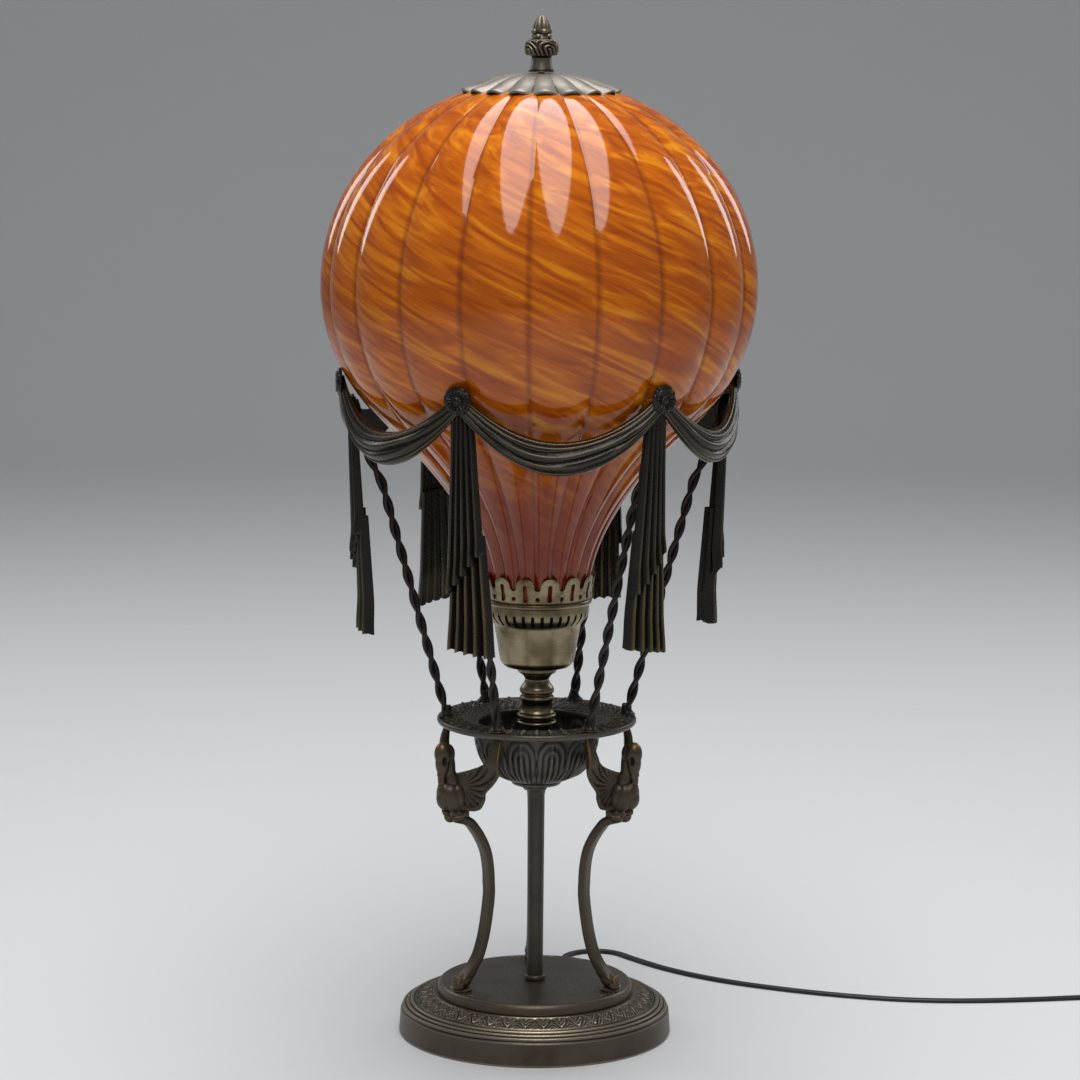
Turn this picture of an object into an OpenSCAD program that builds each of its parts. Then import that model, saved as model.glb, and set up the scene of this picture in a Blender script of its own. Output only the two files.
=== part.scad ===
// Table lamp in the form of a hot-air balloon. A ribbed glass balloon stands in a brass gallery
// above a gondola, six twisted ropes carry a ring of cast drapery round it, and three swans hold
// the gondola up on slender legs over a round stepped foot.
// Millimetres, +Z up, origin at the middle of the underside. The lamp's front looks along -Y.

/* [Foot] */
// Radius of the plinth at the table
plinth_r = 97.5; // [90:0.5:120]
// How far the plinth's wall leans in
wall_draft = 1; // [0:0.1:3]
// Height of the plinth's upright wall
wall_h = 17.7; // [15:0.1:26]
// Thickness of the plinth's wall
wall_t = 7; // [5:0.1:9]
// Width of the reeded step
reed_band_w = 10.5; // [9:0.1:12]
// Rise of the reeded step
reed_rise = 5.8; // [4:0.1:8]
// Reeds round the step
reed_n = 3; // [2:1:4]
// Radius of one reed
reed_r = 1.7; // [1.2:0.1:2.2]
// Width of the leaf band
leaf_band_w = 14.2; // [10:0.1:18]
// Rise of the leaf band
leaf_rise = 5.5; // [4:0.1:8]
// Thickness of the plinth's top plate
plate_t = 6; // [4:0.1:7]
// Radius of the raised platform
platform_r = 69.8; // [66:0.1:72]
// Thickness of the raised platform
platform_t = 7.9; // [6:0.1:14]
// Thickness of the felt under the foot
felt_t = 1.2; // [0.8:0.1:2]
// How far the felt stands below the plinth's rim
felt_proud = 0.5; // [0.3:0.1:0.7]
// Width of the plinth's rim outside the felt
felt_margin = 3.2; // [2:0.1:4]

/* [Column] */
// Height of the column between platform and washer
column_len = 141.6; // [110:0.1:190]
// Radius of the column at its top
column_r = 6.1; // [5.8:0.1:8]
// Radius of the column at its foot
column_foot_r = 5.7; // [5.6:0.1:7]
// Outer radius of the collar round the column's foot
collar_r = 7.7; // [7.4:0.1:11]
// Height of the collar
collar_h = 4.2; // [3:0.1:8]
// Radius of the washer under the bowl
top_washer_r = 8; // [7:0.1:14]
// Thickness of the washer under the bowl
top_washer_t = 3; // [2:0.1:6]
// Radius of the threaded lamp rod
rod_r = 4.85; // [4.4:0.01:5]
// Radius of the rod's wire way
rod_bore_r = 3.2; // [3:0.1:3.6]
// How far the rod hangs below the top plate
rod_tail = 9; // [8:0.1:10]
// Height of the nut under the foot
nut_h = 5; // [4:0.1:6]
// Width across the nut's flats
nut_af = 17; // [14:0.1:20]
// Radius of the washer under the foot
foot_washer_r = 14; // [11:0.1:20]
// Thickness of the washer under the foot
foot_washer_t = 1.5; // [1:0.1:2]

/* [Legs and swans] */
// Direction of the front left swan
swan_turn = 212; // [205:0.5:216]
// Distance of the legs' feet from the axis
foot_r = 61; // [58:0.1:62]
// Distance of the legs' waists from the axis
waist_r = 39; // [36:0.1:44]
// Width of a leg
leg_w = 9; // [7:0.1:11]
// Depth of a leg
leg_d = 6.6; // [5:0.1:8]
// Radius of a foot's pad
pad_r = 6.6; // [5.5:0.1:8]
// Height of a foot's pad
pad_h = 4; // [3:0.1:6]
// Radius of the screws that hold the legs
screw_r = 2; // [1.5:0.1:2.4]
// Height of a screw's head
screw_head_h = 2.6; // [2:0.1:3.5]
// Distance of the swans' bodies from the axis
swan_r = 72; // [70:0.1:74]
// Height from the top of the legs to the gondola's ring
swan_h = 59.7; // [56:0.1:66]
// Thickness of a wing
wing_t = 3.2; // [2.4:0.1:4.5]
// Distance of the wings' tips from the axis
wing_tip_r = 64.5; // [61:0.1:67]

/* [Gondola] */
// Radius of the gondola's ring
ring_r = 71; // [69:0.1:76]
// Thickness of the ring
ring_t = 5; // [3.5:0.1:7]
// Radius where the ring's flat top ends
ring_lip_r = 53; // [49:0.1:57]
// Radius of the bowl
bowl_r = 44.6; // [40:0.1:47]
// Height of the bowl
bowl_h = 44.2; // [40:0.1:52]
// Thickness of the bowl's wall
bowl_wall = 3; // [2:0.1:4]
// Roundness of the bowl, where 2 is an ellipse
bowl_round = 2.6; // [2:0.1:3.2]
// Radius of the bowl's foot ring
bowl_foot_r = 17.7; // [14:0.1:20]

/* [Ropes] */
// Direction of the first rope's foot
rope_turn = 5; // [0:0.5:10]
// Distance of the ropes' feet from the axis
rope_foot_r = 64; // [58:0.1:66]
// Distance from the axis at which a rope bends out to its tail
rope_bend_r = 110.5; // [106:0.1:114]
// Depth of that bend below the rosettes
rope_bend_drop = 72; // [50:1:90]
// Radius of one strand
strand_r = 1.65; // [1.3:0.05:1.8]
// Length of one full twist
rope_pitch = 34; // [28:1:46]
// Radius of the mound at a rope's foot
mound_r = 6.6; // [5:0.1:6.8]
// Height of the mound at a rope's foot
mound_h = 8; // [5:0.1:12]

/* [Drapery] */
// Direction of the first rosette
drape_turn = 7; // [0:0.1:12]
// Height of the rosettes above the gondola's ring
drape_rise = 244.8; // [230:0.1:246]
// Drop of a swag at its middle
swag_drop = 36; // [26:0.1:46]
// Height of a swag's roll at its middle
swag_mid_h = 23; // [16:0.1:28]
// Height of a swag's roll at its ends
swag_end_h = 14; // [9:0.1:16]
// Depth of a swag's roll at its middle
swag_mid_d = 9.5; // [6:0.1:11]
// Depth of a swag's roll at its ends
swag_end_d = 3.4; // [3:0.1:4]
// Folds along a swag
swag_folds = 4; // [3:1:5]
// Radius of a rosette
rosette_r = 9.8; // [8:0.1:12]
// Thickness of a rosette
rosette_t = 2.8; // [2:0.1:4]
// Petals of a rosette
petal_n = 12; // [8:1:16]
// Length of a tail of the drapery
tail_len = 167; // [140:1:172]
// Width of a tail at its top
tail_top_w = 16; // [13:0.1:19]
// Width of a tail at its hem
tail_hem_w = 34; // [26:0.1:40]
// Thickness of a tail's cloth
tail_t = 3.4; // [2.5:0.1:4]
// Folds across a tail
tail_folds = 5; // [4:1:6]
// How far a tail leans in
tail_lean = 5; // [2:0.1:8]

/* [Stem and cup] */
// Height of the cup's bottom above the gondola's ring
stem_rise = 41.5; // [38:0.1:46]
// Radius of the stem's rings
stem_r = 14; // [12:0.1:15]
// Height of the socket cup
cup_h = 50.4; // [48:0.1:56]
// Radius of the cup's rim
cup_r = 38.6; // [38.4:0.1:40]
// Radius of the cup's floor
cup_floor_r = 23; // [22:0.1:25]
// Thickness of the cup's metal
cup_t = 1.4; // [1:0.1:1.6]
// Air slots round the cup
slot_n = 34; // [20:2:40]
// Width of an air slot
slot_w = 2.4; // [1.6:0.1:3]
// Length of an air slot
slot_len = 8.8; // [5:0.1:9.5]
// Height of the gallery
gallery_h = 17.5; // [16:0.1:20]
// Thickness of the gallery's metal
gallery_t = 1; // [0.8:0.1:1.2]
// How far the gallery's tips lean out
gallery_flare = 2.7; // [1.5:0.1:4]
// Arches round the gallery
arch_n = 14; // [10:1:16]

/* [Light] */
// Radius of the lamp holder
socket_r = 19; // [17.5:0.1:20]
// Height of the lamp holder
socket_h = 38; // [34:0.1:42]
// Radius of the bulb's cap
bulb_cap_r = 13.2; // [12.8:0.1:13.6]
// Length of the bulb's cap
bulb_cap_h = 25; // [22:0.1:28]
// Radius of the bulb
bulb_r = 29; // [24:0.1:29.5]
// Length of the bulb's glass
bulb_h = 77; // [70:0.1:90]

/* [Glass] */
// Radius of the balloon
belly_r = 153.6; // [150:0.1:154]
// Height of the balloon's widest line above the glass's foot
belly_rise = 220.1; // [217:0.1:230]
// Height of the crown's ellipse above the widest line
crown_h = 142.7; // [130:0.1:160]
// Depth of the ellipse below the widest line
under_h = 138; // [132:0.1:140]
// Radius of the glass's neck
neck_r = 36.9; // [36.5:0.1:37]
// Thickness of the glass
glass_t = 4.5; // [4.2:0.1:5]
// Ribs round the balloon
rib_n = 20; // [16:2:24]
// Depth of the grooves between the ribs
groove_d = 2.8; // [1:0.1:3]
// Direction of one groove
groove_turn = 267.2; // [260:0.1:278]
// Radius of the glass at its top edge
crown_r = 45; // [43:0.1:47]
// Radius of the opening in the crown
vent_r = 41; // [38:0.1:42]

/* [Cap and finial] */
// Radius of the cap
cap_r = 55.8; // [52:0.1:58]
// Height of the cap
cap_h = 13.1; // [10:0.1:16]
// Thickness of the cap
cap_t = 1.5; // [1:0.1:2]
// Scallops round the cap
scallop_n = 18; // [12:1:24]
// Direction of one notch between scallops
scallop_turn = 263; // [255:1:275]
// Radius of the stud that the finial screws on
stud_r = 2.4; // [2:0.1:3]
// Height of the finial
finial_h = 40.5; // [34:0.1:50]
// Radius of the finial's base ring
finial_r = 10.2; // [8:0.1:14]
// Radius of the finial's leafy knop
knop_r = 11.5; // [9:0.1:13]

/* [Lead] */
// Width of the flat lead
lead_w = 5.6; // [5:0.1:6]
// Thickness of the flat lead
lead_t = 2.9; // [2.4:0.1:3]
// Direction in which the lead leaves the foot
exit_turn = 80; // [78:1:82]
// Height of the lead where it leaves the foot
exit_z = 9; // [8:0.1:10]
// Length of the sleeve where the lead leaves the foot
sleeve_len = 22; // [20:0.1:30]
// Radius of the lead inside the lamp
inner_lead_r = 2.6; // [2:0.1:2.8]
// Turns of the put-away coil
coil_turns = 5.25; // [3.25:1:7.25]
// Radius of the coil's outer turn
coil_r = 40.5; // [38:0.1:44]
// Length of the lead's switch
switch_len = 60; // [56:0.1:64]
// Width of the lead's switch
switch_w = 25; // [21:0.1:32]
// Height of the lead's switch
switch_h = 17; // [15:0.1:22]
// Swing of the switch's rocker
rocker_swing = 16; // [10:1:20]

/* [Clearances] */
// Between pieces that move past each other
move_gap = 0.3; // [0.2:0.05:0.4]
// Between a piece and the hole that it fills
slip_gap = 0.1; // [0.05:0.01:0.15]
// Between the finial and its stud
stud_gap = 0.05; // [0.02:0.01:0.09]
// Between the glass and the ends of the swags
swag_gap = 0.5; // [0.3:0.1:3]

/* [Hidden] */
$fn = 48;
PLACES = ["right", "back_right", "back_left", "left", "front_left", "front_right"];
SWAG_PLACES = ["right_back", "back", "left_back", "left_front", "front", "right_front"];
SWAN_PLACES = ["front_left", "front_right", "back"];

// Levels, each from the one below
plinth_top = wall_h + reed_rise + leaf_rise;
platform_top = plinth_top + platform_t;
column_top = platform_top + column_len;
bowl_z = column_top + top_washer_t;
ring_z = bowl_z + bowl_h;
ring_top = ring_z + ring_t;
leg_top = ring_z - swan_h;
cup_z = ring_z + stem_rise;
cup_top = cup_z + cup_h;
glass_z = cup_top + move_gap;
belly_z = glass_z + belly_rise;
drape_z = ring_z + drape_rise;
bowl_floor = bowl_z + bowl_wall;
socket_z = cup_z + cup_t;
plate_under = plinth_top - plate_t;
rod_bottom = plate_under - rod_tail;
rod_top = socket_z + 5;

// Outline of the glass, from its widest line down and up
tangent_a = 43.9;
neck_from = [belly_r * cos(tangent_a), belly_z - under_h * sin(tangent_a)];
neck_slope = [belly_r * sin(tangent_a), under_h * cos(tangent_a)];
neck_pull = 32 / norm(neck_slope) * 1.37;
neck_hold = [neck_from[0] - neck_slope[0] * neck_pull, neck_from[1] - neck_slope[1] * neck_pull];
neck_rise = 50;
crown_a = acos(crown_r / belly_r);
function bezier(a, b, c, d, t) =
    a * pow(1 - t, 3) + b * 3 * t * pow(1 - t, 2) + c * 3 * t * t * (1 - t) + d * pow(t, 3);
function neck_line(inset, steps) = [
    for (i = [0:steps - 1])
        bezier(
            [neck_r - inset, glass_z],
            [neck_r - inset + 0.4, glass_z + neck_rise],
            [neck_hold[0] - inset, neck_hold[1]],
            [neck_from[0] - inset, neck_from[1]],
            i / steps
        )
];
function belly_line(inset, low, high, steps) = [
    for (i = [0:steps])
        let (a = low + (high - low) * i / steps)
        let (h = a < 0 ? under_h : crown_h - inset)
        [(belly_r - inset) * cos(a), belly_z + h * sin(a)]
];
function glass_line(inset) = concat(neck_line(inset, 8), belly_line(inset, -tangent_a, crown_a, 13));
crown_z = belly_z + crown_h * sin(crown_a);

// Drapery round the glass: its face, and the tails behind the first stretch of the swags
function glass_r(z) = belly_r * sqrt(1 - pow((z - belly_z) / under_h, 2));
swag_rows = 12;
swag_end_z = drape_z - 2.5;
drape_r = glass_r(swag_end_z + swag_end_h / 2) + swag_gap + swag_end_d;
tail_face = drape_r - swag_depth(1);

// Seat of the cap on the crown of the glass
function crown_height(r) = belly_z + crown_h * sqrt(1 - pow(r / belly_r, 2));
cap_z = crown_height(cap_r) + move_gap;
cap_top = cap_z + cap_h;
cap_under = cap_top - cap_t;
finial_z = cap_top + slip_gap;

// Vectors, paths and skins
function unit(v) = v / norm(v);
function spoke_point(r, a, z) = [r * cos(a), r * sin(a), z];
function heading(p, i) = unit(p[min(i + 1, len(p) - 1)] - p[max(i - 1, 0)]);
function ring_at(p, i, section, side) =
    let (t = heading(p, i))
    let (a = unit(cross(side, t)))
    let (b = cross(t, a))
    [for (q = section) p[i] + a * q[0] + b * q[1]];
function turned(section, a) = [
    for (q = section) [q[0] * cos(a) - q[1] * sin(a), q[0] * sin(a) + q[1] * cos(a)]
];
function oval(w, h, sides) = [
    for (i = [0:sides - 1]) [w / 2 * cos((i + 0.5) * 360 / sides), h / 2 * sin((i + 0.5) * 360 / sides)]
];
function halves(q) = [[q[0], q[1], q[2]], [q[0], q[2], q[3]]];

// Closed solid through rings of points, each ring a loop wound about the way the rings run
module skin(rings) {
    n = len(rings[0]);
    m = len(rings);
    sides = [
        for (i = [0:m - 2], j = [0:n - 1])
            let (k = (j + 1) % n)
            each halves([i * n + j, (i + 1) * n + j, (i + 1) * n + k, i * n + k])
    ];
    ends = [[for (j = [0:n - 1]) j], [for (j = [n - 1:-1:0]) (m - 1) * n + j]];
    polyhedron(points = [for (r = rings) each r], faces = concat(sides, ends), convexity = 6);
}

// Closed sheet between two equal grids of points, its face and its back
module slab(face, back) {
    m = len(face);
    n = len(face[0]);
    b = m * n;
    fronts = [
        for (i = [0:m - 2], j = [0:n - 2])
            let (p = i * n + j)
            each halves([p, p + n, p + n + 1, p + 1])
    ];
    backs = [
        for (i = [0:m - 2], j = [0:n - 2])
            let (p = b + i * n + j)
            each halves([p, p + 1, p + n + 1, p + n])
    ];
    first_side = [
        for (i = [0:m - 2]) let (p = i * n) each halves([p, b + p, b + p + n, p + n])
    ];
    last_side = [
        for (i = [0:m - 2])
            let (p = i * n + n - 1)
            each halves([p, p + n, b + p + n, b + p])
    ];
    first_end = [for (j = [0:n - 2]) each halves([j, j + 1, b + j + 1, b + j])];
    last_end = [
        for (j = [0:n - 2])
            let (p = (m - 1) * n + j)
            each halves([p, b + p, b + p + 1, p + 1])
    ];
    polyhedron(
        points = concat([for (r = face) each r], [for (r = back) each r]),
        faces = concat(fronts, backs, first_side, last_side, first_end, last_end),
        convexity = 8
    );
}

// Child turned about the axis to a direction
module spoke(a) {
    rotate([0, 0, a]) children();
}

// Upright tube or pin between two heights
module post(r, z0, z1) {
    translate([0, 0, z0]) cylinder(r = r, h = z1 - z0);
}

// Solid of revolution from an outline in radius and height
module turned_piece(outline, sides = 96) {
    rotate_extrude($fn = sides) polygon(outline);
}

// Half-round bead of an outline, from a lower height to an upper one
function bead(r, neck, z0, z1) = [
    for (a = [-90:22.5:90]) [neck + (r - neck) * cos(a), (z0 + z1) / 2 + (z1 - z0) / 2 * sin(a)]
];

// Foot
rim_r = plinth_r - wall_draft;
reed_in = rim_r - reed_band_w;
leaf_in = reed_in - leaf_band_w;
hollow_r = plinth_r - wall_t;
hollow_top_r = platform_r - 2;
felt_r = plinth_r - felt_margin;

module base_plinth() {
    color("#3a3430")
    difference() {
        union() {
            turned_piece([
                [0, felt_t],
                [felt_r, felt_t],
                [felt_r, felt_proud],
                [plinth_r, felt_proud],
                [plinth_r, wall_h * 0.15],
                [rim_r, wall_h - 1],
                [rim_r - 1, wall_h],
                [reed_in + 1, wall_h + reed_rise - 0.6],
                [reed_in, wall_h + reed_rise],
                [leaf_in, plinth_top],
                [0, plinth_top]
            ]);
            rotate_extrude($fn = 96)
                for (i = [0:reed_n - 1])
                    let (s = (i + 0.5) / reed_n)
                    translate([rim_r - 1.5 - s * (reed_band_w - 2), wall_h + s * (reed_rise - 0.6) + 0.2])
                        circle(r = reed_r, $fn = 24);
        }
        turned_piece([
            [0, -1],
            [hollow_r, -1],
            [hollow_r, wall_h - 5],
            [hollow_top_r, plate_under],
            [0, plate_under]
        ]);
        post(rod_r + slip_gap, 0, plinth_top + 1);
        for (i = [0:2])
            spoke(swan_turn + 120 * i)
                translate([foot_r, 0, 0])
                    post(screw_r + slip_gap, 0, plinth_top + 1);
        spoke(exit_turn)
            translate([hollow_r - 10, 0, exit_z])
                rotate([0, 90, 0])
                    cylinder(r = bushing_r + slip_gap, h = wall_t + 20);
    }
}

module base_platform() {
    color("#37322e")
    difference() {
        turned_piece([
            [0, plinth_top],
            [platform_r - 0.6, plinth_top],
            [platform_r, plinth_top + 0.8],
            [platform_r, platform_top - 2.2],
            [platform_r - 0.6, platform_top - 0.7],
            [platform_r - 2, platform_top],
            [0, platform_top]
        ]);
        post(rod_r + slip_gap, plinth_top - 1, platform_top + 1);
        for (i = [0:2])
            spoke(swan_turn + 120 * i)
                translate([foot_r, 0, 0])
                    post(screw_r + slip_gap, plinth_top - 1, platform_top + 1);
    }
}

module base_felt() {
    color("#2c3a2e") cylinder(r = felt_r - slip_gap, h = felt_t, $fn = 96);
}

module base_washer() {
    color("#b3a77c")
    difference() {
        post(foot_washer_r, plate_under - foot_washer_t, plate_under);
        post(rod_r + slip_gap, 0, plate_under + 1);
    }
}

module base_nut() {
    top = plate_under - foot_washer_t;
    color("#b3a77c")
    difference() {
        translate([0, 0, top - nut_h]) cylinder(r = nut_af / 2 / cos(30), h = nut_h, $fn = 6);
        post(rod_r + slip_gap, 0, top + 1);
    }
}

screw_grip = 2.5;
module leg_screws() {
    color("#8c8574")
    for (i = [0:2])
        spoke(swan_turn + 120 * i)
            translate([foot_r, 0, 0]) {
                post(screw_r, plate_under, platform_top + screw_grip);
                post(screw_r * 1.9, plate_under - screw_head_h, plate_under);
            }
}

// Lead inside the lamp, and its sleeve in the plinth's wall
bushing_r = 5;
flange_r = 7;
flange_t = 1.6;
sleeve_end_r = 3.7;
exit_reach = plinth_r + sleeve_len;
lead_low = felt_t + inner_lead_r + 1.2;
bend_r = 10;

module cord_bushing() {
    color("#1d1d1f")
    spoke(exit_turn)
        translate([0, 0, exit_z])
            rotate([0, 90, 0])
                difference() {
                    union() {
                        translate([0, 0, hollow_r - 6]) cylinder(r = bushing_r, h = exit_reach - hollow_r - 12);
                        translate([0, 0, plinth_r]) cylinder(r = flange_r, h = flange_t);
                        translate([0, 0, exit_reach - 18.1])
                            cylinder(r1 = bushing_r, r2 = sleeve_end_r, h = 18.1);
                    }
                    translate([0, 0, hollow_r - 7])
                        cylinder(r = inner_lead_r + slip_gap, h = exit_reach - hollow_r + 8);
                }
}

function lead_way() = concat(
    [for (r = [exit_reach, plinth_r, hollow_r - 6]) spoke_point(r, exit_turn, exit_z)],
    [for (s = [0.3, 0.7])
        spoke_point(
            hollow_r - 10 - s * (hollow_r - 45),
            exit_turn,
            exit_z + (lead_low - exit_z) * s
        )],
    [for (a = [0:30:90]) spoke_point(bend_r * (1 - sin(a)), exit_turn, lead_low + bend_r * (1 - cos(a)))],
    [for (z = [rod_bottom + 20, rod_top - 20, rod_top]) [0, 0, z]]
);

module supply_lead() {
    way = lead_way();
    side = spoke_point(1, exit_turn + 90, 0);
    color("#1b1b1d")
    skin([for (i = [0:len(way) - 1]) ring_at(way, i, oval(2 * inner_lead_r, 2 * inner_lead_r, 8), side)]);
}

// Column
module column_tube() {
    color("#453a30")
    difference() {
        turned_piece([
            [0, platform_top],
            [column_foot_r, platform_top],
            [column_r, column_top - 6],
            [column_r + 0.6, column_top - 2.4],
            [top_washer_r - 0.6, column_top - 1.2],
            [top_washer_r - 0.2, column_top],
            [0, column_top]
        ]);
        post(rod_r + slip_gap, platform_top - 1, column_top + 1);
    }
}

module column_collar() {
    inner = column_foot_r + slip_gap * 2;
    color("#3f362f")
    turned_piece(concat(
        [[inner, platform_top]],
        bead(collar_r, collar_r - 1.4, platform_top, platform_top + collar_h),
        [[inner, platform_top + collar_h]]
    ));
}

module threaded_rod() {
    color("#a89a6a")
    difference() {
        post(rod_r, rod_bottom, rod_top);
        post(rod_bore_r, rod_bottom - 1, rod_top + 1);
    }
}

module bowl_washer() {
    color("#2a2623")
    difference() {
        post(top_washer_r, column_top, bowl_z);
        post(rod_r + slip_gap, column_top - 1, bowl_z + 1);
    }
}

// Gondola
function bowl_line(r, h, z0) = [
    for (i = [0:12])
        let (s = pow(sin(i * 7.5), 2))
        [max(bowl_foot_r - 2, r * pow(1 - pow(1 - s, bowl_round), 1 / bowl_round)), z0 + h * s]
];

module gondola_bowl() {
    color("#2f2b29")
    difference() {
        union() {
            turned_piece(concat([[0, bowl_z + 1]], bowl_line(bowl_r, bowl_h - 1, bowl_z + 1), [[0, ring_z]]));
            post(bowl_foot_r, bowl_z, bowl_z + 2.4);
        }
        turned_piece(concat(
            [[0, bowl_floor]],
            bowl_line(bowl_r - bowl_wall, bowl_h - bowl_wall, bowl_floor),
            [[bowl_r - bowl_wall, ring_z + 1], [0, ring_z + 1]]
        ));
        post(rod_r + slip_gap, bowl_z - 1, bowl_floor + 1);
    }
}

module gondola_ring() {
    color("#352f2a")
    turned_piece(concat(
        [[bowl_r - bowl_wall + 0.6, ring_z]],
        bead(ring_r, ring_r - ring_t / 2, ring_z, ring_top),
        [[ring_lip_r, ring_top], [bowl_r - bowl_wall + 0.6, ring_z + 1]]
    ));
}

// Legs, drawn along +X and turned to their place
leg_rise = leg_top - platform_top;
function leg_way() = [
    for (p = [
        [foot_r + 5.5, 0.062],
        [foot_r + 0.5, 0.056],
        [foot_r - 5.5, 0.098],
        [foot_r - 11.5, 0.163],
        [waist_r + 7, 0.222],
        [waist_r + 3.2, 0.334],
        [waist_r, 0.504],
        [waist_r, 0.6],
        [waist_r + 0.8, 0.69],
        [waist_r + 3, 0.775],
        [waist_r + 7, 0.845],
        [waist_r + 12, 0.905],
        [waist_r + 18, 0.955],
        [swan_r - 4, 0.985]
    ])
        [p[0], 0, platform_top + leg_rise * p[1]]
];
leg_outline = [
    [-leg_d / 2, -leg_w / 2],
    [leg_d * 0.3, -leg_w / 2],
    [leg_d / 2, -leg_w * 0.24],
    [leg_d * 0.28, 0],
    [leg_d / 2, leg_w * 0.24],
    [leg_d * 0.3, leg_w / 2],
    [-leg_d / 2, leg_w / 2]
];
claw_r = 5;
claw_side = 4;

module claws() {
    for (y = [-claw_side, claw_side])
        translate([swan_r - 4.5, y, leg_top]) sphere(r = claw_r, $fn = 24);
    translate([swan_r - 11, 0, leg_top]) sphere(r = claw_r, $fn = 24);
}

module leg() {
    way = leg_way();
    color("#4a3d30")
    difference() {
        union() {
            skin([for (i = [0:len(way) - 1]) ring_at(way, i, leg_outline, [0, -1, 0])]);
            translate([foot_r, 0, 0]) post(pad_r, platform_top, platform_top + pad_h);
            translate([foot_r + 2.5, 0, platform_top + pad_h + 3]) sphere(r = 4.8, $fn = 24);
            claws();
        }
        translate([0, -20, leg_top]) cube([120, 40, 30]);
        translate([0, -20, platform_top - 20]) cube([120, 40, 20]);
        translate([foot_r, 0, 0]) post(screw_r + slip_gap, 0, platform_top + screw_grip + 0.5);
    }
}

// Swans, drawn along +X and turned to their place
body_long = 17;
body_wide = 9.4;
head_long = 31;
head_r = 6;
crown_drop = 6.5;
neck_r_low = 5;
neck_r_high = 4.2;
function egg(long, wide) = [for (a = [-90:15:90]) [wide * cos(a), long * sin(a)]];
function teardrop() = concat(
    [[0, 0], [1.8, 0.4], [head_r * 0.62, head_long * 0.35]],
    [for (a = [-45:15:90]) [head_r * cos(a), head_long - head_r * 1.5 + head_r * 1.5 * sin(a)]]
);
// Outline of a wing: its upper and its lower edge, as a share of its span and of the swan's height
wing_edges = [
    [[0, 0.5], [0.06, 0.14]],
    [[0.25, 0.55], [0.28, 0.09]],
    [[0.5, 0.61], [0.54, 0.1]],
    [[0.66, 0.655], [0.68, 0.22]],
    [[0.776, 0.7], [0.7, 0.31]],
    [[0.84, 0.76], [0.87, 0.42]],
    [[0.9, 0.85], [1.02, 0.56]],
    [[0.93, 0.94], [1.05, 0.78]],
    [[0.94, 1], [1.07, 1]]
];
wing_cols = 5;
function wing_point(p, span, inset) =
    let (a = span * p[0])
    let (r = wing_tip_r + (swan_r - wing_tip_r - 1) * pow(max(0, 1 - p[0] / 0.6), 2))
    spoke_point(r - inset, a, leg_top + swan_h * p[1]);
function wing_row(k, span, inset) = [
    for (j = [0:wing_cols - 1])
        let (s = (span > 0 ? j : wing_cols - 1 - j) / (wing_cols - 1))
        let (fold = j % 2 == 1 && k > 0 && k < 7 && inset == 0 ? 0.9 : 0)
        wing_point(wing_edges[k][0] * (1 - s) + wing_edges[k][1] * s, span, inset + fold)
];

module wing(span) {
    rows = [0:len(wing_edges) - 1];
    slab([for (k = rows) wing_row(k, span, 0)], [for (k = rows) wing_row(k, span, wing_t)]);
}

module swan(left_span, right_span) {
    head_low = leg_top + swan_h - crown_drop - head_long;
    neck_top = leg_top + swan_h - crown_drop - neck_r_high - 1.5;
    color("#54442f")
    union() {
        difference() {
            union() {
                translate([swan_r - 2, 0, leg_top + body_long + 1.5])
                    rotate([0, 14, 0])
                        rotate_extrude($fn = 32) polygon(egg(body_long, body_wide));
                translate([swan_r + 5.4, 0, head_low])
                    rotate([0, 3, 0])
                        rotate_extrude($fn = 32) polygon(teardrop());
                translate([swan_r + 1.5, 0, head_low])
                    cylinder(r1 = neck_r_low, r2 = neck_r_high, h = neck_top - head_low, $fn = 32);
                translate([swan_r + 1.5, 0, neck_top]) sphere(r = neck_r_high, $fn = 32);
                claws();
            }
            translate([0, -30, leg_top - 30]) cube([120, 60, 30]);
        }
        wing(left_span);
        wing(-right_span);
    }
}

// Ropes, drawn upwards from the gondola's ring to the back of the tails
rope_top = drape_z - 12.5;
rope_top_r = tail_face - tail_t - 0.8 - slip_gap - 1.15 * strand_r;
rope_bend = (drape_z - rope_bend_drop - ring_top) / (rope_top - ring_top);
rope_rings = 76;
twist_steps = rope_rings - 1;
function rope_reach(s) =
    s < rope_bend
        ? rope_foot_r + (rope_bend_r - rope_foot_r) * s / rope_bend
        : rope_bend_r + (rope_top_r - rope_bend_r) * sin(90 * (s - rope_bend) / (1 - rope_bend));
function rope_way(a0, a1) = [
    for (i = [0:twist_steps])
        let (s = i / twist_steps)
        spoke_point(rope_reach(s), a0 + (a1 - a0) * s, ring_top + (rope_top - ring_top) * s)
];
strand_pair = [[2.2 * strand_r, 0], [0, 1.15 * strand_r], [-2.2 * strand_r, 0], [0, -1.15 * strand_r]];

module rope(k) {
    way = rope_way(rope_turn + 60 * k, drape_turn + 60 * k);
    side = spoke_point(1, rope_turn + 60 * k + 90, 0);
    twist = 180 * round(2 * (rope_top - ring_top) / rope_pitch) + 90;
    color("#1f1d1c")
    difference() {
        union() {
            skin([
                for (i = [0:twist_steps])
                    ring_at(way, i, turned(strand_pair, twist * i / twist_steps), side)
            ]);
            spoke(rope_turn + 60 * k)
                translate([rope_foot_r, 0, ring_top])
                    rotate_extrude($fn = 32)
                        polygon([
                            [0, 0],
                            [mound_r, 0],
                            [mound_r * 0.6, mound_h * 0.3],
                            [strand_r * 1.5, mound_h],
                            [0, mound_h]
                        ]);
        }
        spoke(rope_turn + 60 * k) translate([rope_foot_r - 20, -20, ring_top - 20]) cube([40, 40, 20]);
    }
}

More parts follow.
